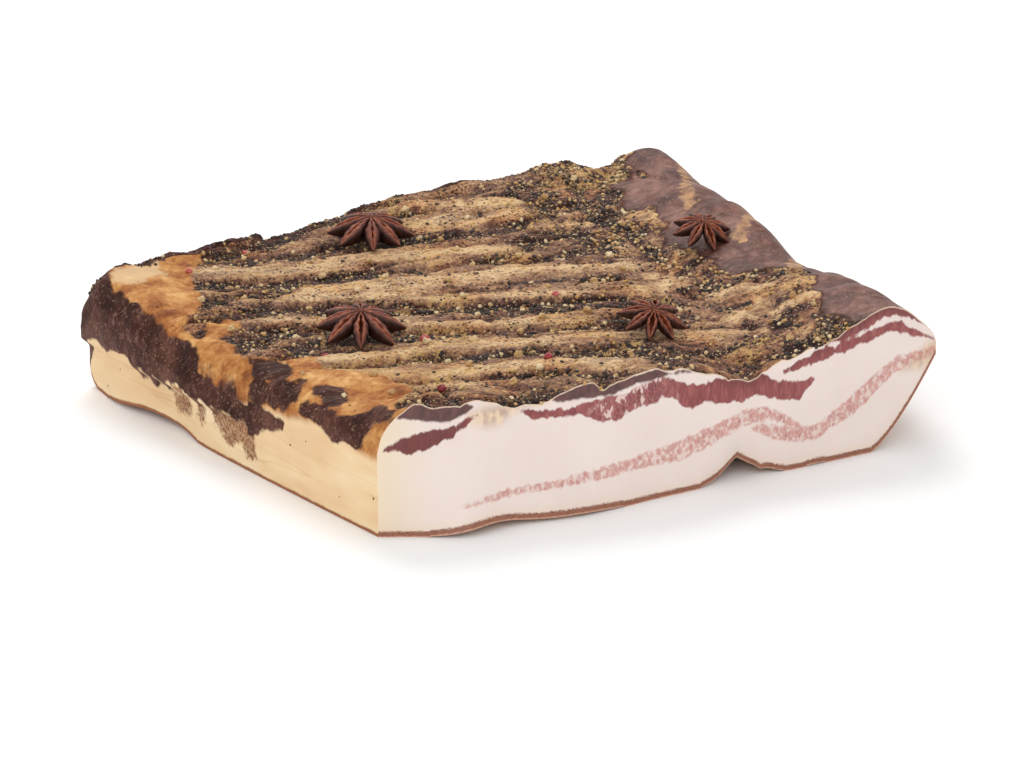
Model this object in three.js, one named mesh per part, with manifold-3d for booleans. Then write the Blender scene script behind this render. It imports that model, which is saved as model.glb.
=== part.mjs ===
// A slab of flat-cured pork belly (pancetta tesa) with whole spices on its top.
// Millimetres, +Z up. The fresh cut faces -Y, the trimmed side faces -X, and the rind is below.
// All plan places are measured from the foot of the front left corner, and the finished group
// is shifted at the end so that its origin lies under the middle of the slab.
import * as THREE from 'three';
import { mergeVertices } from 'three/addons/utils/BufferGeometryUtils.js';
import Module from 'manifold-3d';

const wasm = await Module();
wasm.setup();

// ---------------------------------------------------------------- driving dimensions

const CUT_WIDTH = 268;        // along the fresh cut, from the trimmed side to the thin belly edge
const SIDE_DEPTH = 228;       // of the trimmed left side
const SIDE_SKEW = 43;         // the left side leans this far outwards towards the back
const SIDE_BOW = 2;           // and bows out by this much
const BELLY_DEPTH = 303;      // of the longer right side
const BELLY_SKEW = 27;        // the right side leans this far outwards towards the back
const CUT_BOW = 11;           // the cut face bows forward in its middle
const CUT_SLANT = 3;          // and its belly end lies this far forward
const BACK_BOW = 22;          // the back edge bows out
const BACK_WAVE = 3;          // and waves
const THICKNESS = 47;         // of the slab on its plateau
const MIDDLE = [125.5, 144.8]; // plan point that becomes the origin

const BELLY_TIP = 46;         // height where the top turns down at the thin belly edge
const BELLY_TIP_BACK = 40;    // and further back
const BELLY_CURL = 34;        // how far in from that edge the rind leaves the ground
const CURL_HEIGHT = 40;       // that it has climbed at the edge
const BELLY_ROUND = 26;       // reach of the rounding of the belly edge on top
const BACK_ROUND = 10;        // reach of the rounding of the back edge
const BACK_TIP = 38;          // height of the back edge where the top turns down
const BACK_LIFT = 10;         // height of the rind at the back edge

// The rounded shoulder along the trimmed side drops further where lean was pared away, and at
// the front corner.
const SHOULDER = { drop: 4, reach: 15, extra: [[106, 12, 34], [0, 12, 16]] };

// A lip of lean stands up along the left half of the back edge.
const FLAP = { from: -38, to: 57, rise: 4.5, in: 6, half: 3.2 };

// Mounds and hollows of the plateau: place, rise, and reach across and along.
const MOUNDS = [
  { at: [22, -8], rise: 9, reach: [20, 20] },       // lean over the front left corner
  { at: [108, -5], rise: 9, reach: [46, 45] },      // over the meaty middle of the cut
  { at: [138, -8], rise: 3, reach: [12, 18] },      // its end
  { at: [168, -5], rise: -5, reach: [12, 26] },     // dip beside it
  { at: [196, -8], rise: 3, reach: [12, 22] },      // lump past the dip
  { at: [244, 5], rise: 20, reach: [26, 62] },      // flank ridge that ends at the cut
  { at: [274, 195], rise: 13, reach: [24, 52] },    // second swelling of the flank
  { at: [258, 112], rise: -3, reach: [22, 18] },    // pinch between the two
  { at: [272, 106], rise: 6, reach: [11, 40] },     // full belly edge beside the pinch
  { at: [212, 105], rise: -4, reach: [22, 70] },    // valley beside the flank
  { at: [300, 280], rise: 18, reach: [19, 22] },    // lump at the far corner
  { at: [250, 290], rise: -5, reach: [12, 20] },    // saddle beside the lump
  { at: [230, 291], rise: 6, reach: [18, 18] },     // and the next rise of the back edge
  { at: [-37, 214], rise: 9, reach: [26, 34] },     // square back left corner
  { at: [150, 285], rise: 4, reach: [60, 26] },     // rise towards the back edge
];

// Raised ribs of the top, each between two plan points, and the furrows between them.
const RIBS = [
  { from: [132, 266], to: [194, 254], rise: 3.0, half: 6 },
  { from: [122, 240], to: [190, 240], rise: 3.5, half: 7 },
  { from: [5, 216], to: [160, 196], rise: 3.6, half: 8 },
  { from: [40, 178], to: [206, 150], rise: 2.6, half: 9 },
  { from: [24, 170], to: [150, 118], rise: 3.2, half: 7 },
  { from: [4, 150], to: [140, 76], rise: 3.0, half: 6 },
  { from: [4, 92], to: [190, 36], rise: 3.4, half: 7 },
  { from: [-2, 72], to: [128, 2], rise: 3.8, half: 8 },
  { from: [14, 46], to: [60, 12], rise: 2.4, half: 5 },
  { from: [150, 136], to: [205, 104], rise: 2.4, half: 7 },
  { from: [186, 68], to: [236, 26], rise: 2.2, half: 9 },
  { from: [212, 92], to: [240, 50], rise: 2.6, half: 9 },
  { from: [106, 222], to: [184, 228], rise: -3.4, half: 4 },
  { from: [0, 202], to: [150, 176], rise: -3.6, half: 4 },
  { from: [6, 168], to: [170, 102], rise: -4.0, half: 4 },
  { from: [0, 138], to: [158, 58], rise: -4.2, half: 4 },
  { from: [12, 80], to: [150, 26], rise: -3.8, half: 4 },
  { from: [24, 54], to: [96, 0], rise: -3.4, half: 4 },
  { from: [259, 262], to: [256, 226], rise: -2.0, half: 5 },
];
const RIB_WANDER = 2.2;       // how far a rib strays from its straight line
const RIB_FADE = 20;          // length over which it fades out at each end

// The rind is creased and a little lifted under the cut, and arched under the trimmed side.
const CREASE = { x: 168, slant: 0.1, height: 10, half: 10, run: 50 };
const CUT_LIFTS = [[44, 4.2, 14], [86, 1.5, 16]];
const LIFT_RUN = 7;           // how far in under the slab a lift reaches
const ARCH = { y: 172, height: 4, half: 18, run: 16 };

// Waves along an edge are lists of place, size and reach. The belly edge is pinched and swells,
// and the foot of the walls juts out and draws in.
const BELLY_WAVES = [[116, -7, 24], [40, 2, 30]];
const CUT_FEET = [[34, 9, 13], [85, 5.5, 22], [168, -4, 11]];
const SIDE_FEET = [[196, 3.8, 14], [152, -2.6, 10]];
const FOOT_RUN = 12;          // how far in from the edge the rind is drawn along
const RESTING = 0.5;          // the rind lies flat wherever it would be lifted less than this
const FOOT_POWER = 2.5;       // keeps the jut low on the wall

// The dark lean shoulder swells out over the trimmed fat at the back of the left side.
const SWELL = { out: 4, ends: [70, 226], foot: 21 };
const BELLY_BULGE = 3;        // the belly edge and the back edge round outwards
const BACK_BULGE = 4;

// Mesh steps: fine rows on top, coarse ones below.
const TOP_STEPS = { across: 32, along: 46 };
const BASE_STEPS = { across: 32, along: 9 };
const EDGE_STEPS = 3;         // extra rows in the rounded strip at each edge
const EDGE_STRIP = 0.05;      // width of that strip, as a share of the slab
const WALL_RINGS = 4;         // rings of the walls between top and rind

// Spices fused to the top.
const SPICE_COUNT = 140;
const SPICE_INSET = 12;       // they keep this far from the slab's edges
const SPICE_SINK = 0.3;       // share of a grain's radius that is pressed into the top
const SPREAD = [0.7548776662, 0.569840291]; // steps that spread places evenly over a square
const SEED = { radius: 1, spread: 0.9, flatness: 0.8 };
const PEPPERCORNS = [         // pink ones: plan place and radius, as some are broken
  [[64, 91], 2.4], [[93, 28], 1.9], [[143, 121], 1.6], [[17, 93], 1.5], [[39, 20], 1.8],
  [[42, 245], 1.7], [[3, 218], 1.5],
];

// Star anise: plan centre, radius, turn, tilt in degrees.
const STARS = [
  { at: [100, 231], radius: 21, turn: 22, tilt: 7 },
  { at: [40, 108], radius: 21, turn: 25, tilt: 10 },
  { at: [155, 51], radius: 16, turn: 14, tilt: 20 },
  { at: [237, 155], radius: 16, turn: 40, tilt: 18 },
];
const CARPELS = 8;
const CARPEL_RINGS = [0.1, 0.4, 0.74, 1]; // sections along a carpel, as shares of its length
const CARPEL_WOBBLE = 0.12;   // how far it may stray from its even place, in radians
const REST_CLEARANCE = 0.35;  // stars lie this far clear of the slab

// ---------------------------------------------------------------- helpers

const { abs, exp, floor, hypot, max, min, PI, pow, sin } = Math;
const mix = (a, b, t) => a + (b - a) * t;
const clamp01 = (t) => min(1, max(0, t));
const smooth = (t) => clamp01(t) ** 2 * (3 - 2 * clamp01(t));
const bell = (d, reach) => exp(-0.5 * (d / reach) ** 2);
const waves = (at, list) =>
  list.reduce((sum, [place, size, reach]) => sum + size * bell(at - place, reach), 0);

// Quarter-round profile: 0 at the edge, 1 from `reach` inwards.
const rounded = (distance, reach, power = 2) =>
  pow(1 - pow(1 - clamp01(distance / reach), power), 1 / power);

// A repeatable draw between 0 and 1 for each whole number.
const draw = (n) => {
  const wave = sin(n * 12.9898 + 4.1414) * 43758.5453;
  return wave - floor(wave);
};

// Parameters from 0 to 1: `EDGE_STEPS` narrow steps at each end, and even ones between.
function stations(steps) {
  const list = [];
  for (let i = 0; i < EDGE_STEPS; i++) list.push((EDGE_STRIP * i) / EDGE_STEPS);
  for (let i = 0; i <= steps; i++) list.push(mix(EDGE_STRIP, 1 - EDGE_STRIP, i / steps));
  for (let i = EDGE_STEPS - 1; i >= 0; i--) list.push(1 - (EDGE_STRIP * i) / EDGE_STEPS);
  return list;
}

// ---------------------------------------------------------------- outline in plan

const frontEdge = (s) => [CUT_WIDTH * s, -CUT_BOW * sin(PI * s ** 0.7) - CUT_SLANT * s];

const leftEdge = (t) => [-SIDE_SKEW * t - SIDE_BOW * sin(PI * t), SIDE_DEPTH * t];

const rightEdge = (t) => {
  const y = mix(-CUT_SLANT, BELLY_DEPTH, t);
  return [CUT_WIDTH + BELLY_SKEW * t + waves(y, BELLY_WAVES), y];
};

const backEdge = (s) => {
  const wave = (BACK_BOW + BACK_WAVE * sin(13 * s - 6)) * sin(PI * s);
  const notch = -5 * bell(s - 0.88, 0.03); // beside the lump at the far corner
  const x = mix(-SIDE_SKEW, CUT_WIDTH + BELLY_SKEW, s);
  return [x, mix(SIDE_DEPTH, BELLY_DEPTH, s) + wave + notch];
};

// Coons patch between the four edges: s runs across, t runs from the cut to the back.
function planPoint(s, t) {
  const front = frontEdge(s);
  const back = backEdge(s);
  const left = leftEdge(t);
  const right = rightEdge(t);
  const corner = [frontEdge(0), frontEdge(1), backEdge(0), backEdge(1)];
  return [0, 1].map((k) => mix(front[k], back[k], t) + mix(left[k], right[k], s)
    - mix(mix(corner[0][k], corner[1][k], s), mix(corner[2][k], corner[3][k], s), t));
}

// ---------------------------------------------------------------- height of the top

// Signed rib or furrow: a bell across the line, faded out at both of its ends.
function ribHeight(rib, x, y) {
  const run = [rib.to[0] - rib.from[0], rib.to[1] - rib.from[1]];
  const length = hypot(...run);
  const along = ((x - rib.from[0]) * run[0] + (y - rib.from[1]) * run[1]) / length;
  const across = ((x - rib.from[0]) * run[1] - (y - rib.from[1]) * run[0]) / length;
  const wander = RIB_WANDER * sin(along / 17 + rib.from[1]);
  const ends = smooth(0.4 + along / RIB_FADE) * smooth(0.4 + (length - along) / RIB_FADE);
  return rib.rise * ends * bell(across + wander, rib.half * 0.75);
}

function plateauHeight(x, y) {
  let z = THICKNESS;
  for (const { at, rise, reach } of MOUNDS) {
    z += rise * bell(x - at[0], reach[0]) * bell(y - at[1], reach[1]);
  }
  for (const rib of RIBS) z += ribHeight(rib, x, y);
  z += 0.8 * sin(x / 11 + 1.6 * sin(y / 23)) * sin(y / 9 + sin(x / 27));
  return z;
}

const edgeWidths = (s, t) => ({
  left: s * CUT_WIDTH * mix(1, 1.2, t),
  right: (1 - s) * CUT_WIDTH * mix(1, 1.2, t),
  back: (1 - t) * mix(SIDE_DEPTH, BELLY_DEPTH, s),
});

function topPoint(s, t) {
  const [x, y] = planPoint(s, t);
  const edge = edgeWidths(s, t);
  let z = plateauHeight(x, y);
  const drop = SHOULDER.drop + waves(y, SHOULDER.extra);
  z -= drop * (1 - rounded(edge.left, SHOULDER.reach));
  const tip = mix(BELLY_TIP, BELLY_TIP_BACK, smooth(t * 3));
  z = mix(tip, z, rounded(edge.right, BELLY_ROUND, 1.6));
  z = mix(BACK_TIP, z, rounded(edge.back, BACK_ROUND));
  const flap = smooth((x - FLAP.from) / 40) * smooth((FLAP.to - x) / 3);
  z += FLAP.rise * flap * bell(edge.back - FLAP.in, FLAP.half);
  return [x, y, z];
}

// ---------------------------------------------------------------- height of the rind

function basePoint(s, t) {
  const [x, y] = planPoint(s, t);
  const edge = edgeWidths(s, t);
  const curl = max(0, BELLY_CURL - edge.right);
  const curlHeight = CURL_HEIGHT * (curl / BELLY_CURL) ** 1.4 * mix(1, 0.6, smooth(t * 2));
  const backLift = BACK_LIFT * (1 - rounded(edge.back, BACK_ROUND));
  const fromCrease = abs(x - CREASE.x - CREASE.slant * y) / CREASE.half;
  const crease = CREASE.height * exp(-pow(fromCrease, 1.3)) * exp(-(y + CUT_BOW) / CREASE.run);
  const cutLift = waves(x, CUT_LIFTS) * bell(y + CUT_BOW, LIFT_RUN);
  const arch = ARCH.height * bell(y - ARCH.y, ARCH.half) * (1 - rounded(edge.left, ARCH.run));
  const lift = max(curlHeight, backLift)
    + max(0, crease - 0.4) + max(0, cutLift - 0.1) + max(0, arch - 0.1);
  const out = waves(y, SIDE_FEET) * exp(-edge.left / FOOT_RUN);
  const forward = waves(x, CUT_FEET) * exp((-t * SIDE_DEPTH) / FOOT_RUN);
  return [x - out, y - forward, lift < RESTING ? 0 : lift];
}

// ---------------------------------------------------------------- skin of the slab

// Points around the outline, from the front left corner anticlockwise, with their parameters.
function outlineStations(across, along) {
  const s = stations(across);
  const t = stations(along);
  const ring = [];
  s.slice(0, -1).forEach((value) => ring.push([value, 0, value]));
  t.slice(0, -1).forEach((value) => ring.push([1, value, 1 + value]));
  [...s].reverse().slice(0, -1).forEach((value) => ring.push([value, 1, 3 - value]));
  [...t].reverse().slice(0, -1).forEach((value) => ring.push([0, value, 4 - value]));
  return ring;
}

// A wall point: `drop` runs from 0 at the top edge to 1 at the rind.
function wallPoint(s, t, drop) {
  const top = topPoint(s, t);
  const base = basePoint(s, t);
  const z = mix(top[2], base[2], drop);
  const belly = sin(PI * drop);
  const low = drop ** FOOT_POWER;
  let [x, y] = top;
  if (s === 1) x += BELLY_BULGE * belly * smooth(t * 8);
  if (t === 1) y += BACK_BULGE * belly * smooth(s * 5);
  if (s === 0) {
    const reach = smooth((top[1] - SWELL.ends[0]) / 60) * smooth((SWELL.ends[1] + 40 - top[1]) / 40);
    const swell = SWELL.out * reach * smooth((z - SWELL.foot + 2) / 5) * smooth((top[2] - z) / 9);
    x -= swell + waves(top[1], SIDE_FEET) * low;
  }
  if (t === 0) y -= waves(top[0], CUT_FEET) * low;
  return [x, y, z];
}

function slabGeometry() {
  const vertices = [];
  const faces = [];
  const addPoint = (point) => vertices.push(point) - 1;

  // One sheet of quads over the plan; returns its border as a ring of vertex numbers.
  function sheet(steps, pointAt, facesUp) {
    const s = stations(steps.across);
    const t = stations(steps.along);
    const grid = t.map((tv) => s.map((sv) => addPoint(pointAt(sv, tv))));
    for (let j = 0; j + 1 < t.length; j++) {
      for (let i = 0; i + 1 < s.length; i++) {
        const [a, b, c, d] = [grid[j][i], grid[j][i + 1], grid[j + 1][i + 1], grid[j + 1][i]];
        if (facesUp) faces.push([a, b, d], [b, c, d]);
        else faces.push([a, d, b], [b, d, c]);
      }
    }
    const front = grid[0].slice(0, -1);
    const right = grid.map((row) => row.at(-1)).slice(0, -1);
    const back = [...grid.at(-1)].reverse().slice(0, -1);
    const left = grid.map((row) => row[0]).reverse().slice(0, -1);
    return [...front, ...right, ...back, ...left];
  }

  // Joins two rings that start at the same corner, whatever their numbers of points.
  function zip(upper, lower) {
    let i = 0;
    let j = 0;
    while (i < upper.ids.length || j < lower.ids.length) {
      const nextUpper = upper.at[i + 1] ?? 4;
      const nextLower = lower.at[j + 1] ?? 4;
      const a = upper.ids[i % upper.ids.length];
      const b = lower.ids[j % lower.ids.length];
      if (j >= lower.ids.length || (i < upper.ids.length && nextUpper <= nextLower)) {
        i += 1;
        faces.push([a, b, upper.ids[i % upper.ids.length]]);
      } else {
        j += 1;
        faces.push([a, b, lower.ids[j % lower.ids.length]]);
      }
    }
  }

  const fine = outlineStations(TOP_STEPS.across, TOP_STEPS.along);
  const coarse = outlineStations(BASE_STEPS.across, BASE_STEPS.along);
  let above = { ids: sheet(TOP_STEPS, topPoint, true), at: fine.map((p) => p[2]) };
  for (let k = 1; k < WALL_RINGS; k++) {
    const ids = fine.map(([s, t]) => addPoint(wallPoint(s, t, k / WALL_RINGS)));
    const ring = { ids, at: above.at };
    zip(above, ring);
    above = ring;
  }
  const baseIds = sheet(BASE_STEPS, basePoint, false);
  zip(above, { ids: baseIds, at: coarse.map((p) => p[2]) });

  const geometry = new THREE.BufferGeometry();
  geometry.setAttribute('position', new THREE.Float32BufferAttribute(vertices.flat(), 3));
  geometry.setIndex(faces.flat());
  return geometry;
}

// ---------------------------------------------------------------- solids

// A closed solid of a geometry's triangles, for joining.
function toSolid(geometry) {
  const bare = geometry.clone();
  bare.deleteAttribute('normal');
  bare.deleteAttribute('uv');
  const merged = mergeVertices(bare, 1e-4);
  const vertProperties = new Float32Array(merged.attributes.position.array);
  const triVerts = new Uint32Array(merged.index.array);
  return new wasm.Manifold(new wasm.Mesh({ numProp: 3, vertProperties, triVerts }));
}

function toGeometry(solid) {
  const mesh = solid.getMesh();
  const geometry = new THREE.BufferGeometry();
  geometry.setAttribute('position', new THREE.Float32BufferAttribute(mesh.vertProperties, 3));
  geometry.setIndex([...mesh.triVerts]);
  geometry.computeVertexNormals();
  return geometry;
}

// ---------------------------------------------------------------- spices on the top

const isClearOfStars = (x, y, radius) =>
  STARS.every((star) => hypot(x - star.at[0], y - star.at[1]) > star.radius + radius + 2);

// The peppercorns, then seeds in an evenly spread sequence over the plan, which skips the bare
// lean of the flank.
function spicePlaces() {
  const places = PEPPERCORNS.map(([[x, y], radius], n) => ({ x, y, radius, n, flatness: 1 }));
  for (let n = 1; n <= SPICE_COUNT; n++) {
    const s = (0.5 + n * SPREAD[0]) % 1;
    const t = (0.5 + n * SPREAD[1]) % 1;
    const [x, y] = planPoint(s, t);
    const edge = edgeWidths(s, t);
    const front = t * SIDE_DEPTH;
    const radius = SEED.radius + SEED.spread * draw(n);
    const bareFlank = edge.right < 40 + 22 * bell(y - 200, 50);
    const nearEdge = min(edge.left, edge.right, edge.back, front) < SPICE_INSET;
    if (!bareFlank && !nearEdge && isClearOfStars(x, y, radius)) {
      places.push({ x, y, radius, n, flatness: SEED.flatness });
    }
  }
  return places;
}

// Height of a mesh's top at a plan point, from a ray sent straight down.
function topOfMesh(mesh, x, y) {
  const ray = new THREE.Raycaster(new THREE.Vector3(x, y, 500), new THREE.Vector3(0, 0, -1));
  const hit = ray.intersectObject(mesh)[0];
  return hit ? hit.point.z : -Infinity;
}

function spiceSolid({ x, y, radius, n, flatness }, slab) {
  const grain = new THREE.SphereGeometry(radius, 5, 4);
  grain.rotateX(PI / 2);
  grain.rotateZ(2 * PI * draw(n + 500));
  grain.scale(1 + 0.2 * draw(n + 900), 1, flatness);
  grain.translate(x, y, topOfMesh(slab, x, y) + radius * (0.8 - SPICE_SINK));
  return toSolid(grain);
}

// ---------------------------------------------------------------- star anise

// One boat-shaped carpel along +X, lofted from six-point sections: keel, sides, lips and slit.
// It is tall at the hub and runs out into a pointed beak.
function carpelGeometry(radius, n) {
  const length = radius * (0.9 + 0.1 * draw(n));
  const rings = CARPEL_RINGS.map((share) => {
    const bulge = max(0, sin(PI * share ** 0.85)) ** 0.8;
    const wide = radius * min(0.02 + 0.15 * bulge, 0.36 * share);
    const keel = radius * (0.1 * (1 - share) ** 2 + 0.1 * share ** 4);
    const lip = radius * (0.55 - 0.4 * share ** 2);
    const gape = wide / 2;
    const slit = lip - radius * 0.14 * bulge;
    const x = length * share;
    const side = mix(keel, lip, 0.7);
    return [[x, 0, keel], [x, -wide, side], [x, -gape, lip], [x, 0, slit], [x, gape, lip],
      [x, wide, side]];
  });
  const vertices = rings.flat();
  const faces = [];
  const size = rings[0].length;
  for (let k = 0; k + 1 < rings.length; k++) {
    for (let i = 0; i < size; i++) {
      const [a, b] = [k * size + i, k * size + ((i + 1) % size)];
      faces.push([a, a + size, b], [b, a + size, b + size]);
    }
  }
  const capOrder = [[0, 1, 3], [1, 2, 3], [0, 3, 5], [3, 4, 5]];
  const last = (rings.length - 1) * size;
  for (const [a, b, c] of capOrder) faces.push([a, b, c], [last + a, last + c, last + b]);
  const geometry = new THREE.BufferGeometry();
  geometry.setAttribute('position', new THREE.Float32BufferAttribute(vertices.flat(), 3));
  geometry.setIndex(faces.flat());
  return geometry;
}

function starGeometry({ radius, turn, tilt }, index) {
  const hub = new THREE.CylinderGeometry(radius * 0.07, radius * 0.12, radius * 0.42, 8);
  hub.rotateX(PI / 2);
  hub.translate(0, 0, radius * 0.33);
  let solid = toSolid(hub);
  for (let k = 0; k < CARPELS; k++) {
    const carpel = carpelGeometry(radius, index * 20 + k + 1);
    const wobble = CARPEL_WOBBLE * (draw(index * 30 + k) - 0.5);
    carpel.rotateZ((2 * PI * k) / CARPELS + wobble);
    solid = solid.add(toSolid(carpel));
  }
  const geometry = toGeometry(solid);
  geometry.rotateZ(THREE.MathUtils.degToRad(turn));
  geometry.rotateX(THREE.MathUtils.degToRad(tilt));
  return geometry;
}

// Height at which a star set down on the slab first touches it.
function restHeight(geometry, [atX, atY], slab) {
  const { array } = geometry.attributes.position;
  let height = -Infinity;
  for (let i = 0; i < array.length; i += 3) {
    const [x, y] = [array[i] + atX, array[i + 1] + atY];
    height = max(height, topOfMesh(slab, x, y) - array[i + 2]);
  }
  return height + REST_CLEARANCE;
}

// ---------------------------------------------------------------- the whole

const slabMaterial = new THREE.MeshStandardMaterial({ color: 0xb48c66, roughness: 0.55 });
const aniseMaterial = new THREE.MeshStandardMaterial({ color: 0x7a3e2a, roughness: 0.6 });

function makeSlab(bareSlab) {
  let solid = toSolid(bareSlab.geometry);
  for (const place of spicePlaces()) solid = solid.add(spiceSolid(place, bareSlab));
  const mesh = new THREE.Mesh(toGeometry(solid), slabMaterial);
  mesh.name = 'slab';
  return mesh;
}

function makeStar(star, index, slab) {
  const geometry = starGeometry(star, index);
  const mesh = new THREE.Mesh(geometry, aniseMaterial);
  mesh.name = `star_anise_${index + 1}`;
  mesh.position.set(star.at[0], star.at[1], restHeight(geometry, star.at, slab));
  return mesh;
}

const bareSlab = new THREE.Mesh(slabGeometry(), slabMaterial);
const pancetta = new THREE.Group();
pancetta.add(makeSlab(bareSlab));
STARS.forEach((star, index) => pancetta.add(makeStar(star, index, bareSlab)));
pancetta.position.set(-MIDDLE[0], -MIDDLE[1], 0);

export default pancetta;
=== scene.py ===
# %% [markdown]
# # A slab of pancetta
# A square of pork belly, cured flat and rubbed with cracked pepper, pink peppercorns and
# mustard seed. It lies on its rind. The front is a fresh knife cut, the left side was trimmed
# before curing and has dried to a golden crust, and the right edge is the thin belly flap.
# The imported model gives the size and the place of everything, so it is loaded first.

# %% Load the frame
import math
import bpy
import numpy as np
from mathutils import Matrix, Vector


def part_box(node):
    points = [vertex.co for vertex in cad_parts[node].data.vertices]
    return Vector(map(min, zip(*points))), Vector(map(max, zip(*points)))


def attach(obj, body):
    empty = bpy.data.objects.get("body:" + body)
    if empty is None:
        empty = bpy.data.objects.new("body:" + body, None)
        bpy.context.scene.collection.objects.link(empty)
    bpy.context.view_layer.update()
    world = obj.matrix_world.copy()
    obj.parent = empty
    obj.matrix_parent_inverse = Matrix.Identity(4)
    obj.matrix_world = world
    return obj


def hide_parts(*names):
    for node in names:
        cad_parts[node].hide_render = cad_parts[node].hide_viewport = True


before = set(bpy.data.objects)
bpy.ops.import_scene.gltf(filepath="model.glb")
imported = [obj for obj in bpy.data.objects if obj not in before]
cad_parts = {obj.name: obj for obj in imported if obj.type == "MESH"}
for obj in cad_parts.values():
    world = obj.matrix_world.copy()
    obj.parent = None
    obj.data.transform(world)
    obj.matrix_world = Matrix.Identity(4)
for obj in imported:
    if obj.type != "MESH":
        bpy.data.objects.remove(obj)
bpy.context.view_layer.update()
MM = 0.001


def new_object(name, data):
    """An object that is linked to the scene from the start."""
    made = bpy.data.objects.new(name, data)
    bpy.context.scene.collection.objects.link(made)
    return made


print("nodes:", sorted(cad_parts))

# %% [markdown]
# ## Camera
# A long lens from about a metre and a half, turned 26 degrees to the left of the cut and
# looking down by 20 degrees. The front left corner of the slab is the nearest point, so the
# camera is placed from that corner and from where the corner should fall in the picture.

# %% Place the camera
MIDDLE = (125.5, 144.8)          # plan place of the origin, from the foot of the front left corner
AZIMUTH = math.radians(-26)
ELEVATION = math.radians(20)
CAMERA_DISTANCE = 1.6
LENS, SENSOR = 135, 36
PICTURE = (1024, 768)
CORNER_PIXEL = (378, 537)        # where the near corner's foot falls


def place_camera():
    back = Vector((math.sin(AZIMUTH) * math.cos(ELEVATION),
                   -math.cos(AZIMUTH) * math.cos(ELEVATION), math.sin(ELEVATION)))
    right = Vector((math.cos(AZIMUTH), math.sin(AZIMUTH), 0))
    up = back.cross(right)
    focal = PICTURE[0] * LENS / SENSOR
    across = (CORNER_PIXEL[0] - PICTURE[0] / 2) / focal
    above = (PICTURE[1] / 2 - CORNER_PIXEL[1]) / focal
    corner = Vector((-MIDDLE[0] * MM, -MIDDLE[1] * MM, 0))
    data = bpy.data.cameras.new("camera")
    data.lens, data.sensor_width, data.clip_end = LENS, SENSOR, 10
    camera = new_object("camera", data)
    camera.location = corner + CAMERA_DISTANCE * (back - across * right - above * up)
    camera.rotation_euler = back.to_track_quat("Z", "Y").to_euler()
    bpy.context.scene.camera = camera
    return camera


print("camera at", [round(v, 3) for v in place_camera().location])

# %% [markdown]
# ## Helpers for shape
# The slab's form comes from plain functions of the plan, so that the surface, the colours and
# the spices can all ask how high or how ribbed a place is. They work on whole arrays, in
# millimetres, measured from the foot of the front left corner, as a maker would measure.

# %% Small curves and a repeatable noise
def smooth(t):
    t = np.clip(t, 0, 1)
    return t * t * (3 - 2 * t)


def bell(d, reach):
    return np.exp(-0.5 * (d / reach) ** 2)


def rounded(distance, reach, power=2.0):
    u = np.clip(distance / reach, 0, 1)
    return (1 - (1 - u) ** power) ** (1 / power)


def mix(a, b, t):
    return a + (b - a) * t


def waves(at, bumps, base=0):
    """A base with bells on it, each given as (place, height, reach)."""
    return sum((height * bell(at - place, reach) for place, height, reach in bumps), base)


def noise(u, v, seed):
    """Smooth noise from -1 to 1 with one knot for each unit of u and v."""
    table = np.random.default_rng(seed).uniform(-1, 1, (64, 64))
    iu, iv = np.floor(u).astype(int), np.floor(v).astype(int)
    fu, fv = smooth(u - iu), smooth(v - iv)
    low = mix(table[iu % 64, iv % 64], table[(iu + 1) % 64, iv % 64], fu)
    high = mix(table[iu % 64, (iv + 1) % 64], table[(iu + 1) % 64, (iv + 1) % 64], fu)
    return mix(low, high, fv)


def draw(n):
    """A repeatable draw between 0 and 1 for a whole number."""
    wave = math.sin(n * 12.9898 + 4.1414) * 43758.5453
    return wave - math.floor(wave)


# %% [markdown]
# ## Outline of the slab
# Four edges in plan: the bowed cut, the straight trimmed side, the wavy belly edge and the
# back. A Coons patch fills the space between them, so that one pair of numbers, s across and
# t from the cut to the back, names every place on top and below.

# %% Driving sizes and the plan
CUT_WIDTH, CUT_BOW, CUT_SLANT = 268, 11, 3
SIDE_DEPTH, SIDE_SKEW, SIDE_BOW = 228, 43, 2
BELLY_DEPTH, BELLY_SKEW = 303, 27
BELLY_WAVES = [(116, -7, 24), (40, 2, 30)]      # along the belly edge: place, height, reach
BACK_BOW, BACK_WAVE, BACK_NOTCH = 22, 3, 5
THICKNESS = 47


def front_edge(s):
    return CUT_WIDTH * s, -CUT_BOW * np.sin(np.pi * s ** 0.7) - CUT_SLANT * s


def left_edge(t):
    return -SIDE_SKEW * t - SIDE_BOW * np.sin(np.pi * t), SIDE_DEPTH * t


def right_edge(t):
    y = mix(-CUT_SLANT, BELLY_DEPTH, t)
    return CUT_WIDTH + BELLY_SKEW * t + waves(y, BELLY_WAVES), y


def back_edge(s):
    wave = BACK_BOW * np.sin(np.pi * s) + BACK_WAVE * np.sin(13 * s - 6) * np.sin(np.pi * s)
    notch = -BACK_NOTCH * bell(s - 0.88, 0.03)
    x = mix(-SIDE_SKEW, CUT_WIDTH + BELLY_SKEW, s)
    return x, mix(SIDE_DEPTH, BELLY_DEPTH, s) + wave + notch


def plan_point(s, t):
    front, back, left, right = front_edge(s), back_edge(s), left_edge(t), right_edge(t)
    corners = [front_edge(0.0), front_edge(1.0), back_edge(0.0), back_edge(1.0)]
    return [mix(front[k], back[k], t) + mix(left[k], right[k], s)
            - mix(mix(corners[0][k], corners[1][k], s), mix(corners[2][k], corners[3][k], s), t)
            for k in (0, 1)]


def edge_distances(s, t):
    wide = CUT_WIDTH * mix(1, 1.2, t)
    return s * wide, (1 - s) * wide, (1 - t) * mix(SIDE_DEPTH, BELLY_DEPTH, s)


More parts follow.
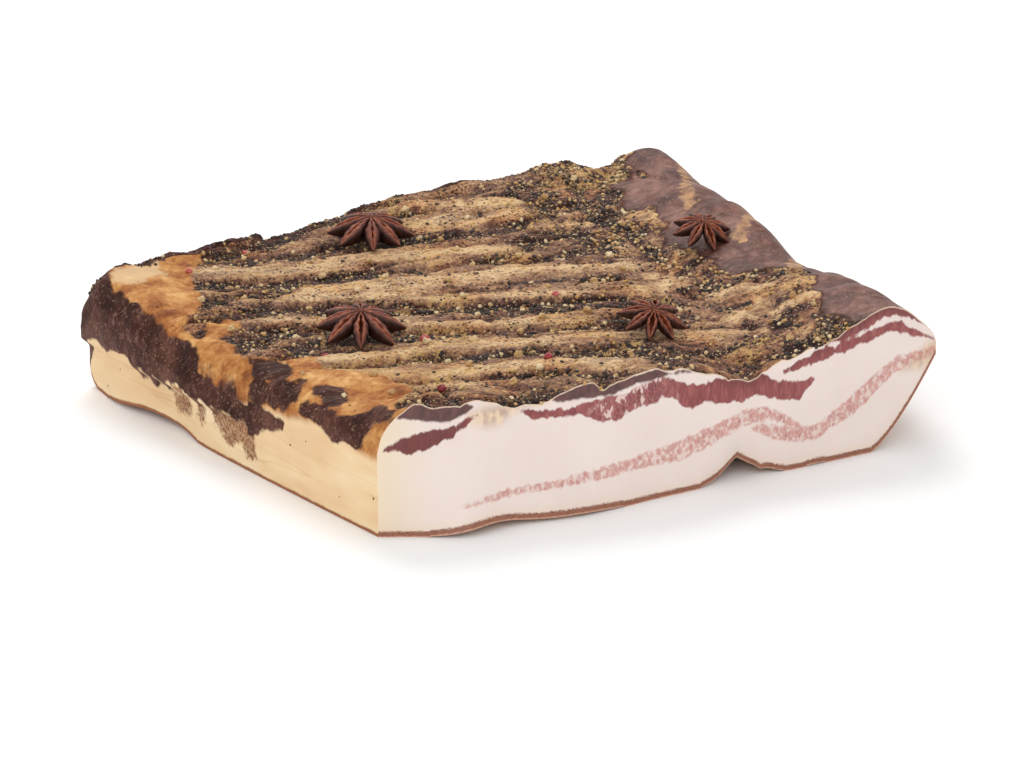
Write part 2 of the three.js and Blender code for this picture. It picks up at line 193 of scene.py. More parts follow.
# %% [markdown]
# ## What covers the top
# The middle is rubbed with spices. The right flank is bare dried lean, and a strip along the
# left side is smooth golden fat with dark lean patches. Each area is an outline in the plan,
# turned into a field that says how many millimetres a place is inside the area. Such a field
# can shape the surface, place the spices and colour the skin, with the same border for all.

# %% Fields of the cover
GOLDEN_FAT = [                   # in from the left edge, or down the wall below 0, and depth
    (-80, 250), (3, 218), (21, 226), (37, 233), (51, 243), (66, 246), (62, 238), (39, 208),
    (27, 176), (9, 160), (5, 150), (9, 144), (26, 157), (33, 154), (26, 142), (15, 138), (9, 108),
    (18, 98), (32, 92), (22, 74), (38, 58), (37, 30), (14, 8), (10, -20), (-80, -30)]
LEFT_LEAN = [                    # the strip down the left wall, then patches over the shoulder
    [(6, 222), (2, 206), (2, 167), (3, 147), (1, 129), (1, 103), (-3, 93), (-9, 91), (-12, 116),
     (-15, 134), (-16, 143), (-23, 165), (-28, 180), (-26, 190), (-30, 204), (-32, 250), (8, 250)],
    [(0, 93), (-1, 84), (-3, 75), (-5, 66), (-9, 67), (-12, 80), (-16, 93)],
    [(2, 97), (4, 90), (5, 81), (6, 74), (8, 65), (2, 57), (-1, 67), (-1, 88)],
    [(9, 106), (13, 102), (19, 92), (11, 78), (4, 76), (3, 90), (4, 98)],
    [(10, 70), (10, 60), (15, 54), (19, 49), (13, 40), (6, 35), (4, 42), (6, 53)],
    [(1, 56), (4, 44), (4, 29), (7, 14), (3, 7), (0, 9), (-3, 14), (-3, 19), (-9, 31), (-4, 40)],
    [(12, 18), (9, 0), (4, -6), (4, 3), (5, 12)],
]
RUST = [                         # ragged stains under the strip
    [(-12, 123), (-9, 92), (-19, 90), (-25, 88), (-27, 95), (-22, 99), (-23, 106), (-20, 119)],
    [(-20, 152), (-13, 138), (-24, 142), (-27, 151)],
    [(-14, 134), (-12, 126), (-21, 127), (-22, 132)],
]
PALE_CORNER = [(5, 217), (21, 226), (37, 233), (30, 214), (16, 203), (8, 204), (3, 209)]
FLANK_BORDER = [                 # depth from the cut, and how far across the rub ends there
    (20, 224), (88, 252), (100, 248), (112, 229), (175, 229), (212, 243), (252, 255), (293, 268)]
LEAN_BY_LUMP = [(262, 272), (240, 252), (233, 222), (246, 206), (266, 230)]
FAT_SEAMS = [                    # thin lines of golden fat in the bare lean of the flank
    [(300, 286), (284, 250), (268, 218), (254, 192), (246, 190), (262, 222), (278, 254),
     (293, 288)],
    [(282, 178), (268, 158), (252, 140), (248, 146), (263, 163), (278, 183)],
    [(270, 116), (257, 94), (243, 66), (238, 70), (251, 97), (264, 120)],
]


def inside(x, y, outline):
    """Millimetres inside a closed outline, negative outside it."""
    corners = np.array(outline, float)
    nearest, odd = np.full(np.shape(x), 1e9), np.zeros(np.shape(x), bool)
    for (ax, ay), (bx, by) in zip(corners, np.roll(corners, -1, axis=0)):
        run = np.clip(((x - ax) * (bx - ax) + (y - ay) * (by - ay))
                      / ((bx - ax) ** 2 + (by - ay) ** 2), 0, 1)
        nearest = np.minimum(nearest, np.hypot(x - ax - run * (bx - ax), y - ay - run * (by - ay)))
        if ay != by:
            odd ^= ((ay > y) != (by > y)) & (x < ax + (y - ay) * (bx - ax) / (by - ay))
    return np.where(odd, nearest, -nearest)


def across_side(x, y, depth=0):
    """Millimetres in from the left edge, going on down the wall as negative numbers."""
    return x - left_edge(y / SIDE_DEPTH)[0] - depth


def golden_inside(x, y):
    return inside(across_side(x, y), y, GOLDEN_FAT) + 2 * noise(x / 7, y / 6, 22)


def flank_inside(x, y):
    border = np.interp(y, *zip(*FLANK_BORDER))
    bare = np.maximum(x - border, inside(x, y, LEAN_BY_LUMP))
    return bare + 4 * noise(x / 9, y / 9, 21) + 2 * noise(x / 3, y / 3, 23)


def calmness(x, y):
    """1 where the skin is smooth, on the bare flank and the golden fat, and 0 on the rub."""
    return np.maximum(smooth(flank_inside(x, y) / 8 + 0.5), smooth(golden_inside(x, y) / 9 + 0.5))


# %% [markdown]
# ## Relief of the top
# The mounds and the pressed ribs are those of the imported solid. Finer folds are added here.
# The real ribs fan out: those at the back run along the cut, and those at the front slope down
# to the right. A "fan" coordinate that is constant along such a rib lets one stretched noise
# make long lens-shaped folds with sharp furrows between them.

# %% Mounds, ribs and folds
MOUNDS = [  # place, rise, reach across and along
    ((22, -8), 9, (20, 20)), ((108, -5), 9, (46, 45)), ((138, -8), 3, (12, 18)),
    ((168, -5), -5, (12, 26)), ((196, -8), 3, (12, 22)), ((244, 5), 20, (26, 62)),
    ((274, 195), 13, (24, 52)), ((258, 112), -3, (22, 18)), ((272, 106), 6, (11, 40)),
    ((212, 105), -4, (22, 70)), ((300, 280), 18, (19, 22)), ((250, 290), -5, (12, 20)),
    ((230, 291), 6, (18, 18)), ((-37, 214), 9, (26, 34)), ((150, 285), 4, (60, 26)),
]
RIBS = [  # from, to, rise, half width
    ((132, 266), (194, 254), 3.0, 6), ((122, 240), (190, 240), 3.5, 7),
    ((5, 216), (160, 196), 3.6, 8), ((40, 178), (206, 150), 2.6, 9),
    ((24, 170), (150, 118), 3.2, 7), ((4, 150), (140, 76), 3.0, 6),
    ((4, 92), (190, 36), 3.4, 7), ((-2, 72), (128, 2), 3.8, 8),
    ((14, 46), (60, 12), 2.4, 5), ((150, 136), (205, 104), 2.4, 7),
    ((186, 68), (236, 26), 2.2, 9), ((212, 92), (240, 50), 2.6, 9),
    ((106, 222), (184, 228), -3.4, 4), ((0, 202), (150, 176), -3.6, 4),
    ((6, 168), (170, 102), -4.0, 4), ((0, 138), (158, 58), -4.2, 4),
    ((12, 80), (150, 26), -3.8, 4), ((24, 54), (96, 0), -3.4, 4),
    ((259, 262), (256, 226), -2.0, 5),
]
FOLD_LIMIT = 2.0
STARS = [  # plan place, radius, turn and tilt in degrees
    ((100, 231), 21, 22, 7), ((40, 108), 21, 25, 10), ((155, 51), 16, 14, 20),
    ((237, 155), 16, 40, 18),
]
PEPPERCORNS = [  # pink ones: plan place and radius
    ((64, 91), 2.4), ((93, 28), 1.9), ((143, 121), 1.6), ((17, 93), 1.5), ((39, 20), 1.8),
    ((42, 245), 1.7), ((3, 218), 1.5),
]


def rib_height(rib, x, y):
    (ax, ay), (bx, by), rise, half = rib
    length = math.hypot(bx - ax, by - ay)
    along = ((x - ax) * (bx - ax) + (y - ay) * (by - ay)) / length
    across = ((x - ax) * (by - ay) - (y - ay) * (bx - ax)) / length
    wander = 2.2 * np.sin(along / 17 + ay)
    ends = smooth((along + 8) / 20) * smooth((length + 8 - along) / 20)
    return rise * ends * bell(across + wander, half * 0.75)


def fan(x, y):
    return (y + 0.5 * x) / (1 + x / 500)


def mound_height(x, y):
    z = THICKNESS + 0 * x
    for (mx, my), rise, (rx, ry) in MOUNDS:
        z = z + rise * bell(x - mx, rx) * bell(y - my, ry)
    return z


def under_stars(x, y):
    """Falls to 0 under each star, where the skin is pressed flat."""
    near = sum(bell(np.hypot(x - at[0], y - at[1]), radius * 0.6) for at, radius, *_ in STARS)
    return 1 - np.minimum(near, 1)


def flat_side(x):
    """1 on the right of the rub, which is lumpy and not ribbed."""
    return smooth((x - 175) / 35)


def fold_height(x, y):
    """Ribs with flat tops and steep sides, and the furrows between them."""
    ribs = sum(rib_height(rib, x, y) for rib in RIBS)
    q = fan(x, y)
    drift = noise(x / 40, y / 40, 3)
    lobes = np.abs(noise(x / 42 + drift, q / 10.5, 4)) ** 0.6
    creases = np.abs(noise(x / 23, q / 4.4 + drift, 5)) ** 0.7
    frayed_sides = noise(x / 8, q / 3, 14)
    calm = calmness(x, y)
    rough = (1 - 0.8 * calm) * (0.3 + 0.7 * under_stars(x, y)) * mix(1, 0.4, flat_side(x))
    swells = 1.4 * noise(x / 17, y / 13, 6) * calm
    height = ribs + rough * (4.2 * (lobes - 0.5) + 1.8 * (creases - 0.5) + 0.9 * frayed_sides)
    return FOLD_LIMIT * np.tanh(1.6 * height / FOLD_LIMIT) + swells


def grit_height(x, y):
    """Small lumps of the rub, and soft wrinkles on the bare flank."""
    bare = smooth(flank_inside(x, y) / 6 + 0.5)
    golden = smooth(golden_inside(x, y) / 6 + 0.5)
    chunks = np.maximum(0, noise(x / 8, y / 6.5, 10)) * flat_side(x)
    lumps = 0.45 * noise(x / 2.6, y / 2.6, 7) + 0.6 * noise(x / 6.5, y / 5.5, 8) + 2.2 * chunks
    wrinkles = 1.0 * np.abs(noise(x / 7 + y / 26, y / 15, 9)) ** 0.7
    return lumps * (1 - bare) * (1 - 0.7 * golden) + wrinkles * bare


# %% [markdown]
# ## Edges, walls and rind
# The cut and the trimmed side are plain walls. The top turns over to them: sharply at the
# knife cut, in a soft shoulder on the left, and in a long round at the belly edge, where the
# rind curls up to meet it. Under the cut the rind is creased and a little lifted.

# %% Top, base and wall points
BELLY_TIP, BELLY_TIP_BACK = 46, 40
BELLY_CURL, BELLY_ROUND, CURL_HEIGHT = 34, 26, 40
BACK_TIP, BACK_ROUND, BACK_LIFT = 38, 10, 10
BELLY_BULGE, BACK_BULGE = 3, 4   # how far the hidden walls bulge
SHOULDER_DROP, SHOULDER_REACH = 4, 15
PARED = [(106, 12, 34), (0, 12, 16)]                    # where the shoulder drops further
FLAP_ENDS, FLAP_IN, FLAP_RISE, FLAP_HALF = (-38, 57), 6, 4.5, 3.2   # a lip along the back edge
CREASE_X, CREASE_HEIGHT, CREASE_HALF, CREASE_RUN = 168, 10, 10, 50
CRUMPLE_X, CRUMPLE_HEIGHT, CRUMPLE_HALF = 192, 2.4, 14  # small folds beside the crease
ARCH_Y, ARCH_HEIGHT, ARCH_HALF, ARCH_RUN = 172, 4, 18, 16   # a hollow under the left side
CUT_LIFTS = [(44, 4.2, 14), (86, 1.5, 16)]              # along the cut: place, height, reach
CUT_FEET = [(34, 9.0, 13), (85, 5.5, 22), (168, -4.0, 11)]   # how far the foot juts forward
SIDE_FEET = [(196, 3.8, 14), (152, -2.6, 10)]           # and how far it juts out on the left
FOOT_RUN, LIFT_RUN = 12, 7
RESTING = 0.5                    # the rind lies flat wherever it would be lifted less
SWELL_OUT, SWELL_FOOT, SWELL_ENDS = 4, 21, (70, 266)


def top_point(s, t):
    x, y = plan_point(s, t)
    left, right, back = edge_distances(s, t)
    z = mound_height(x, y) + fold_height(x, y) * smooth(0.25 + back / 14) + grit_height(x, y)
    shoulder = waves(y, PARED, SHOULDER_DROP)
    z = z - shoulder * (1 - rounded(left, SHOULDER_REACH))
    tip = mix(BELLY_TIP, BELLY_TIP_BACK, smooth(t * 3))
    z = mix(tip, z, rounded(right, BELLY_ROUND, 1.6))
    z = mix(BACK_TIP, z, rounded(back, BACK_ROUND))
    flap = smooth((x - FLAP_ENDS[0]) / 40) * smooth((FLAP_ENDS[1] - x) / 3)
    z = z + FLAP_RISE * flap * bell(back - FLAP_IN, FLAP_HALF)
    return np.stack(np.broadcast_arrays(x, y, z), -1)


def base_point(s, t):
    x, y = plan_point(s, t)
    left, right, back = edge_distances(s, t)
    curl = np.maximum(0, BELLY_CURL - right)
    curled = CURL_HEIGHT * (curl / BELLY_CURL) ** 1.4 * mix(1, 0.6, smooth(t * 2))
    back_lift = BACK_LIFT * (1 - rounded(back, BACK_ROUND))
    run = np.exp(-(y + CUT_BOW) / CREASE_RUN)
    crease = CREASE_HEIGHT * np.exp(-(np.abs(x - CREASE_X - 0.1 * y) / CREASE_HALF) ** 1.3) * run
    folds = np.abs(noise(x / 7, y / 30, 11))
    crumple = CRUMPLE_HEIGHT * folds * bell(x - CRUMPLE_X, CRUMPLE_HALF) * run
    lifted = waves(x, CUT_LIFTS) * bell(y + CUT_BOW, LIFT_RUN)
    arch = ARCH_HEIGHT * bell(y - ARCH_Y, ARCH_HALF) * (1 - rounded(left, ARCH_RUN))
    z = (np.maximum(curled, back_lift) + np.maximum(0, crease - 0.4) + crumple
         + np.maximum(0, lifted - 0.1) + np.maximum(0, arch - 0.1))
    z = np.where(z < RESTING, 0, z)
    foot_x = x - waves(y, SIDE_FEET) * np.exp(-left / FOOT_RUN)
    foot_y = y - waves(x, CUT_FEET) * np.exp(-t * SIDE_DEPTH / FOOT_RUN)
    return np.stack(np.broadcast_arrays(foot_x, foot_y, z), -1)


def wall_point(s, t, drop):
    """A point between the top edge, drop 0, and the rind, drop 1."""
    top, base = top_point(s, t), base_point(s, t)
    x, y = top[..., 0], top[..., 1]
    z = mix(top[..., 2], base[..., 2], drop)
    belly = np.sin(np.pi * drop)
    reach = smooth((y - SWELL_ENDS[0]) / 60) * smooth((SWELL_ENDS[1] - y) / 40)
    swell = SWELL_OUT * reach * smooth((z - SWELL_FOOT + 2) / 5) * smooth((top[..., 2] - z) / 9)
    sawn = 0.25 * noise(y / 16, z / 5, 12) * belly
    low = drop ** 2.5
    left_out = swell + sawn + waves(y, SIDE_FEET) * low
    front_out = waves(x, CUT_FEET) * low + 0.3 * noise(x / 14, z / 9, 13) * belly
    right_out = BELLY_BULGE * belly * smooth(t * 8)
    back_out = BACK_BULGE * belly * smooth(s * 5)
    x_out = x + np.where(s == 1, right_out, 0) - np.where(s == 0, left_out, 0)
    y_out = y + np.where(t == 1, back_out, 0) - np.where(t == 0, front_out, 0)
    return np.stack(np.broadcast_arrays(x_out, y_out, z), -1)


# %% [markdown]
# ## Skin of the slab
# One closed surface: a fine grid on top, columns of points down the walls, closer together on
# the cut and the trimmed side because they are seen close, and a coarse sheet for the rind.
# Where a row of many points meets a row of few, the two are zipped together with triangles,
# so that no crack opens between them.

# %% Grid, columns and zip
TOP_CELLS = (250, 216)           # across and along
CUT_ROWS, HIDDEN_ROWS = 40, 8    # rows of the seen and of the hidden walls
RIND_CELLS = (60, 44)
EDGE_STRIP = 0.05                # share of the plan along each edge with closer points


def stations(cells, edge_cells=10):
    middle = np.linspace(EDGE_STRIP, 1 - EDGE_STRIP, cells - 2 * edge_cells + 1)
    edge = np.linspace(0, EDGE_STRIP, edge_cells, endpoint=False)
    return np.concatenate([edge, middle, 1 - edge[::-1]])


def outline_walk(s, t):
    """The places round a sheet's border, with a number from 0 to 4 that grows on the way."""
    front = [(v, 0.0, v) for v in s[:-1]]
    right = [(1.0, v, 1 + v) for v in t[:-1]]
    back = [(v, 1.0, 3 - v) for v in s[:0:-1]]
    left = [(0.0, v, 4 - v) for v in t[:0:-1]]
    return np.array(front + right + back + left)


def border(grid):
    return np.concatenate([grid[0, :-1], grid[:-1, -1], grid[-1, :0:-1], grid[:0:-1, 0]])


def zipped(first, first_at, second, second_at):
    """Triangles between two rows of points, each with its places along the way."""
    i = j = 0
    triangles = []
    while i + 1 < len(first) or j + 1 < len(second):
        step_first = j + 1 >= len(second) or (
            i + 1 < len(first) and first_at[i + 1] <= second_at[j + 1])
        i_next, j_next = (i + 1, j) if step_first else (i, j + 1)
        tip = first[i_next] if step_first else second[j_next]
        triangles.append((first[i], second[j], tip))
        i, j = i_next, j_next
    return triangles


def squares(grid, upward=True):
    """The faces of a grid of point numbers."""
    right, ahead = grid[:-1, 1:], grid[1:, :-1]
    if not upward:
        right, ahead = ahead, right
    corners = np.stack([grid[:-1, :-1], right, grid[1:, 1:], ahead], -1)
    return [tuple(face) for face in corners.reshape(-1, 4).tolist()]


def closed(row, at):
    """A ring of points as a row whose end is its start again."""
    return np.append(row, row[0]), np.append(at, 4 + at[0])


def slab_skin():
    """Points, their places (s, t, drop), and faces."""
    s, t = stations(TOP_CELLS[0]), stations(TOP_CELLS[1])
    across, along = np.meshgrid(s, t)
    points = [top_point(across, along).reshape(-1, 3)]
    places = [np.stack([across, along, 0 * across], -1).reshape(-1, 3)]
    grid = np.arange(across.size).reshape(across.shape)
    faces = squares(grid)
    count = grid.size

    walk, rim = outline_walk(s, t), border(grid)
    columns = []
    for (s_at, t_at, _), top_id in zip(walk, rim):
        rows = CUT_ROWS if s_at == 0 or t_at == 0 else HIDDEN_ROWS
        columns.append((top_id, rows, np.arange(count, count + rows)))
        drops = np.arange(1, rows + 1) / rows
        places.append(np.stack(np.broadcast_arrays(s_at, t_at, drops), -1))
        count += rows
    ring_places = np.concatenate(places[1:])
    points.append(wall_point(*ring_places.T))
    columns = [(np.append(top_id, ids), np.linspace(0, 1, rows + 1))
               for top_id, rows, ids in columns]
    for here, ahead in zip(columns, columns[1:] + columns[:1]):
        faces += zipped(*ahead, *here)

    rind_s, rind_t = (stations(n, 4)[1:-1] for n in RIND_CELLS)
    across, along = np.meshgrid(rind_s, rind_t)
    points.append(base_point(across, along).reshape(-1, 3))
    places.append(np.stack([across, along, 0 * across + 1], -1).reshape(-1, 3))
    sheet = np.arange(count, count + across.size).reshape(across.shape)
    faces += squares(sheet, upward=False)
    foot = closed(np.array([ids[-1] for ids, _ in columns]), walk[:, 2])
    sheet_at = np.concatenate([np.linspace(k, k + 1, n, endpoint=False) for k, n in enumerate(
        [len(rind_s) - 1, len(rind_t) - 1] * 2)])
    inner = closed(border(sheet), sheet_at)
    faces += zipped(*foot, *inner)
    return np.concatenate(points), np.concatenate(places), faces


points, places, faces = slab_skin()
triangles = sum(len(face) - 2 for face in faces)
print("skin:", len(points), "points,", triangles, "triangles")

# %% [markdown]
# ## Lean and fat in the cut
# A belly is layers of fat with streaks of lean. On the cut each streak is a band with a
# middle height and a half thickness at a few places along the cut, read off the real slab.
# The field is millimetres inside the band. The shader later frays its border and draws the
# pale network of fat inside, which would need far too many faces as mesh.

# %% Streak fields
LOWER_STREAKS = [  # (along the cut, middle height, half thickness)
    [(32, 12.2, 0.7), (50, 14.6, 1.3), (78, 15.4, 1.8), (108, 17.7, 2.4), (123, 19, 3.6),
     (137, 20, 4.4), (153, 23.9, 4.5), (168, 28.6, 3.6), (177, 29, 3.6), (184, 27.4, 2.4),
     (196, 20, 1.6)],
    [(174, 22.8, 1.6), (184, 19.5, 3.4), (194, 16.4, 3.3), (205, 15.6, 3.4), (216, 20.6, 3.8),
     (224, 24.4, 4.8), (232, 29.3, 4.7), (239, 34.4, 4.3), (247, 39.3, 3.5), (255, 40.7, 2.5),
     (263, 41.3, 2.1), (271, 42, 2.4)],
]
UPPER_STREAKS = [
    [(2, 38.5, 0.4), (7, 40, 2.9), (16, 40.5, 3.3), (26, 43, 3.3), (32, 45, 2.2),
     (37, 47.8, 1.8), (41, 50.3, 0.3)],
    [(60, 50, 0.5), (68, 46.9, 1.7), (79, 46, 1.6), (89, 46.4, 2.2), (97, 43.6, 5.0),
     (105, 44, 5.4), (113, 46.6, 4.4), (119, 48.4, 5.4), (126, 50, 5.8), (132, 49, 3.6),
     (139, 43.6, 5.4), (144, 43, 4.6), (150, 44, 4.6), (157, 43, 5.6), (168, 42.6, 5.8),
     (176, 42.8, 5.0), (183, 39.6, 4.6), (190, 37.4, 4.4), (196, 36.4, 4.4), (200, 38.8, 1.8),
     (206, 40.9, 0.4)],
    [(204, 56.6, 0.5), (215, 57.7, 2.5), (223, 59.1, 3.0), (231, 61.4, 3.0), (238, 64.6, 3.3),
     (246, 65.2, 2.8), (254, 61.8, 2.6), (261, 57.5, 2.4), (264, 55, 1.0)],
    [(188, 46.5, 0.4), (199, 49, 2.2), (204, 50.4, 3.0), (212, 51.3, 2.2), (219, 52, 2.6),
     (227, 53.9, 2.4), (235, 55.5, 2.6), (243, 57.3, 2.8), (249, 56.4, 2.6), (255, 53.1, 1.4),
     (262, 49.9, 1.8), (267, 47.6, 0.5)],
]
DRIED_STREAKS = [
    [(8, 52.8, 0.8), (14, 55.2, 3.8), (23, 55.0, 5.6), (29, 54.6, 5.8), (35, 54.2, 3.8),
     (40, 54, 0.3)],
    [(76, 52.6, 0.8), (84, 53.6, 2.8), (94, 54.8, 3.8), (104, 54.0, 3.4), (112, 55.4, 2.0),
     (124, 56.6, 2.4), (131, 55.6, 0.4)],
    [(133, 55.2, 0.3), (143, 56.2, 2.0), (152, 55.2, 0.3)],
]
STAINS = [  # yellowed fat: under the spiced edge, at the tip
    [(38, 50, 1.5), (45, 49, 5.0), (52, 49.5, 5.0), (58, 51.5, 2.5), (74, 53.5, 1.2)],
    [(250, 36, 1.0), (262, 40, 5.5), (272, 41, 8.0)],
]


def band(x, z, knots):
    """Millimetres inside a band that is given as (x, middle, half thickness) knots."""
    xs, middles, halves = np.array(knots).T
    beyond = np.maximum(0, np.maximum(xs[0] - x, x - xs[-1]))
    return np.interp(x, xs, halves) - np.abs(z - np.interp(x, xs, middles)) - beyond


def bands(x, z, group):
    return np.max([band(x, z, knots) for knots in group], axis=0)


# %% [markdown]
# ## Dark lean on the sides
# The trimmed side is golden fat below and a strip of dark dried lean above, which runs on
# round the back. The left side is unrolled, wall and top in one plane, because the patches go
# over the shoulder. Their borders are ragged.

# %% Side fields
BACK_LEAN_FOOT, BELLY_LEAN_FOOT = 26, 24    # the dark lean's lower border on the hidden walls
OUTSIDE = -99                    # far outside any area


def in_any(across, along, outlines):
    return np.max([inside(across, along, outline) for outline in outlines], axis=0)


def side_lean(s, t, x, y, z, depth):
    """Millimetres inside the dark lean, and inside the rust stains below it."""
    across = across_side(x, y, depth)
    ragged = 1.6 * noise(y / 6, across / 6, 31) + 0.6 * noise(y / 2.4, across / 2.8, 32)
    left = in_any(across, y, LEFT_LEAN) + ragged
    back = edge_distances(s, t)[2]
    behind = np.where(t > 0.96, z - BACK_LEAN_FOOT + 2 * ragged - np.maximum(0, back - 8), OUTSIDE)
    beside = np.where(s > 0.97, z - BELLY_LEAN_FOOT + 2 * ragged, OUTSIDE) - 20 * (t < 0.02)
    rust = in_any(across, y, RUST) + 1.5 * ragged
    return np.max([left, behind, beside], axis=0), np.where(s == 0, rust, OUTSIDE)


def clipped(field, limit=12):
    """A field matters only near its border, so it is cut off beyond the limit."""
    return np.clip(field, -limit, limit)


def cover_fields(points, places):
    """All fields that the materials and the spices read, by name."""
    x, y, z = points.T
    s, t, drop = places.T
    q = fan(x, y)
    folds = fold_height(x, y)
    streaky = 0.8 * noise(x / 30, q / 5, 41) + 0.5 * noise(x / 12, q / 2.2, 42)
    flat = flat_side(x)
    patchy = 0.9 * noise(x / 9, y / 7, 43) + 0.7 * noise(x / 4, y / 3, 44)
    crests = (sum(rib_height(rib, x, y) for rib in RIBS if rib[2] > 0) / 3) ** 1.4
    # Tone rises with the fold height and on the rib crests, so the furrows come out dark: partly
    # pepper, partly painted shade.
    tone = 0.38 + 0.1 * folds + 0.3 * crests + mix(0.24 * streaky, 0.4 * patchy, flat)
    golden, flank = golden_inside(x, y), flank_inside(x, y)
    walls = smooth(drop * 8)
    rub = smooth(-golden / 6 + 0.3) * smooth(-flank / 5 + 0.4) * (1 - smooth(drop * 20)) * (t > 0)
    furrow = smooth((0.5 - tone) * 4)
    for at, radius in PEPPERCORNS:  # no grains over the pink peppercorns
        rub = rub * smooth((np.hypot(x - at[0], y - at[1]) - radius) / 1.5)
    seams = in_any(x, y, FAT_SEAMS)
    depth = top_point(s, t)[:, 2] - z
    dark, rust = side_lean(s, t, x, y, z, depth)
    return {
        "tone": tone,
        "flat": flat,
        "golden": clipped(golden),
        "flank": clipped(flank),
        "dark": clipped(dark),
        "rust": clipped(rust),
        "corner": clipped(inside(across_side(x, y, depth), y, PALE_CORNER)),
        "wall": walls,
        "rind": z - base_point(s, t)[:, 2],
        "lower": clipped(bands(x, z, LOWER_STREAKS), 9),
        "upper": clipped(bands(x, z, UPPER_STREAKS), 9),
        "dried": clipped(bands(x, z, DRIED_STREAKS), 9),
        "stain": clipped(bands(x, z, STAINS)),
        "depth": depth,
        "seam": clipped(seams + 1.5 * noise(x / 7, y / 7, 34), 9),
        "pepper": rub * mix(0.03, 1, furrow) * mix(1, 0.8, flat),
        "pale": rub * mix(0.04, 1, furrow) * mix(0.6, 1, flat),
        "crumb": rub * smooth(noise(x / 22, y / 14, 45) * 3 - 0.2) * mix(0.5, 1, flat),
    }, np.stack([x, q, z], -1)


fields, fan_places = cover_fields(points, places)
print("fields:", ", ".join(fields))

# %% Make the slab
CURED, CUT, RIND = 0, 1, 2


def face_regions(faces, places):
    """Which finish each face has, from the places of its corners."""
    regions = []
    for face in faces:
        s, t, drop = places[list(face)].T
        if drop.min() == 1:
            regions.append(RIND)
        elif t.max() == 0 and drop.max() > 0:
            regions.append(CUT)
        else:
            regions.append(CURED)
    return regions


def in_world(plan_points):
    """From millimetres in the plan to metres round the origin."""
    return (plan_points - [*MIDDLE, 0]) * MM


def make_slab():
    mesh = bpy.data.meshes.new("pancetta_slab")
    mesh.from_pydata(in_world(points).tolist(), [], faces)
    mesh.polygons.foreach_set("material_index", face_regions(faces, places))
    for name, values in fields.items():
        mesh.attributes.new(name, "FLOAT", "POINT").data.foreach_set("value", values)
    spread = mesh.attributes.new("fan", "FLOAT_VECTOR", "POINT")
    spread.data.foreach_set("vector", fan_places.ravel())
    ends = np.empty(len(mesh.edges) * 2, int)
    mesh.edges.foreach_get("vertices", ends)
    s, t, drop = places[ends.reshape(-1, 2)].transpose(2, 0, 1)
    on_rim = np.all(drop == 0, 1) | np.all(drop == 1, 1) | np.all(s == 0, 1) | np.all(s == 1, 1)
    crisp = np.all(t == 0, 1) & on_rim
    mesh.attributes.new("sharp_edge", "BOOLEAN", "EDGE").data.foreach_set("value", crisp)
    mesh.update()
    return new_object("pancetta_slab", mesh)


slab = make_slab()
print("slab size in mm:", [round(v / MM, 1) for v in slab.dimensions])

# %% [markdown]
# ## Helpers for nodes
# Materials and Geometry Nodes are both trees of nodes. A small class keeps each tree readable:
# every call adds one node, wires its inputs in order, and gives back the socket to use next.

# %% Node helper
class Nodes:
    def __init__(self, tree):
        self.tree = tree

    def add(self, kind, *inputs, out=0, named=None, **settings):
        node = self.tree.nodes.new(kind)
        for key, value in settings.items():
            setattr(node, key, value)
        wired = {k: value for k, value in enumerate(inputs) if value is not None}
        wired.update(named or {})
        for key, value in wired.items():
            self.wire(node.inputs[key], value)
        return node.outputs[out]

    def wire(self, socket, value):
        if isinstance(value, bpy.types.NodeSocket):
            self.tree.links.new(value, socket)
        else:
            socket.default_value = value

    def attr(self, name, out="Fac"):
        return self.add("ShaderNodeAttribute", out=out, attribute_name=name)

    def math(self, operation, a, b=None, c=None):
        return self.add("ShaderNodeMath", a, b, c, operation=operation)

    def plus(self, a, b):
        return self.math("ADD", a, b)

    def times(self, a, b):
        return self.math("MULTIPLY", a, b)

    def larger(self, a, b):
        return self.math("MAXIMUM", a, b)

    def blend(self, factor, a, b, how="MIX"):
        return self.add("ShaderNodeMix", out=2, data_type="RGBA", blend_type=how,
                        named={0: factor, 6: a, 7: b})

    def paint(self, base, mask, share, shade):
        """The base with a shade over it where the mask is, as strong as the share."""
        return self.blend(self.times(mask, share), base, shade)

    def step(self, value, low, high, start=0.0, end=1.0):
        """Smoothly from start to end while value goes from low to high."""
        return self.add("ShaderNodeMapRange", value, low, high, start, end,
                        interpolation_type="SMOOTHSTEP")

    def noise(self, vector, scale, detail=3.0, roughness=0.6, out=0, distortion=0.0):
        return self.add("ShaderNodeTexNoise", out=out, named={
            "Vector": vector, "Scale": scale, "Detail": detail, "Roughness": roughness,
            "Distortion": distortion})

    def cells(self, vector, scale, feature="F1", out="Distance"):
        return self.add("ShaderNodeTexVoronoi", out=out, feature=feature, named={
            "Vector": vector, "Scale": scale})

    def ramp(self, factor, stops):
        """A colour ramp whose stops are (place, red, green, blue)."""
        node = self.tree.nodes.new("ShaderNodeValToRGB")
        elements = node.color_ramp.elements
        while len(elements) < len(stops):
            elements.new(0.5)
        for element, (at, *shade) in zip(elements, stops):
            element.position, element.color = at, colour(*shade)
        self.wire(node.inputs[0], factor)
        return node.outputs[0]

    def stretch(self, vector, scale):
        return self.add("ShaderNodeVectorMath", vector, scale, operation="MULTIPLY")

    def long_noise(self, vector, scales, detail, roughness=0.6, distortion=0.0):
        """A noise drawn out along an axis, with a scale for each."""
        return self.noise(self.stretch(vector, scales), 1.0, detail, roughness,
                          distortion=distortion)

    def bump(self, height, distance, strength=1.0, normal=None):
        named = {"Height": height, "Distance": distance, "Strength": strength}
        if normal is not None:
            named["Normal"] = normal
        return self.add("ShaderNodeBump", named=named)


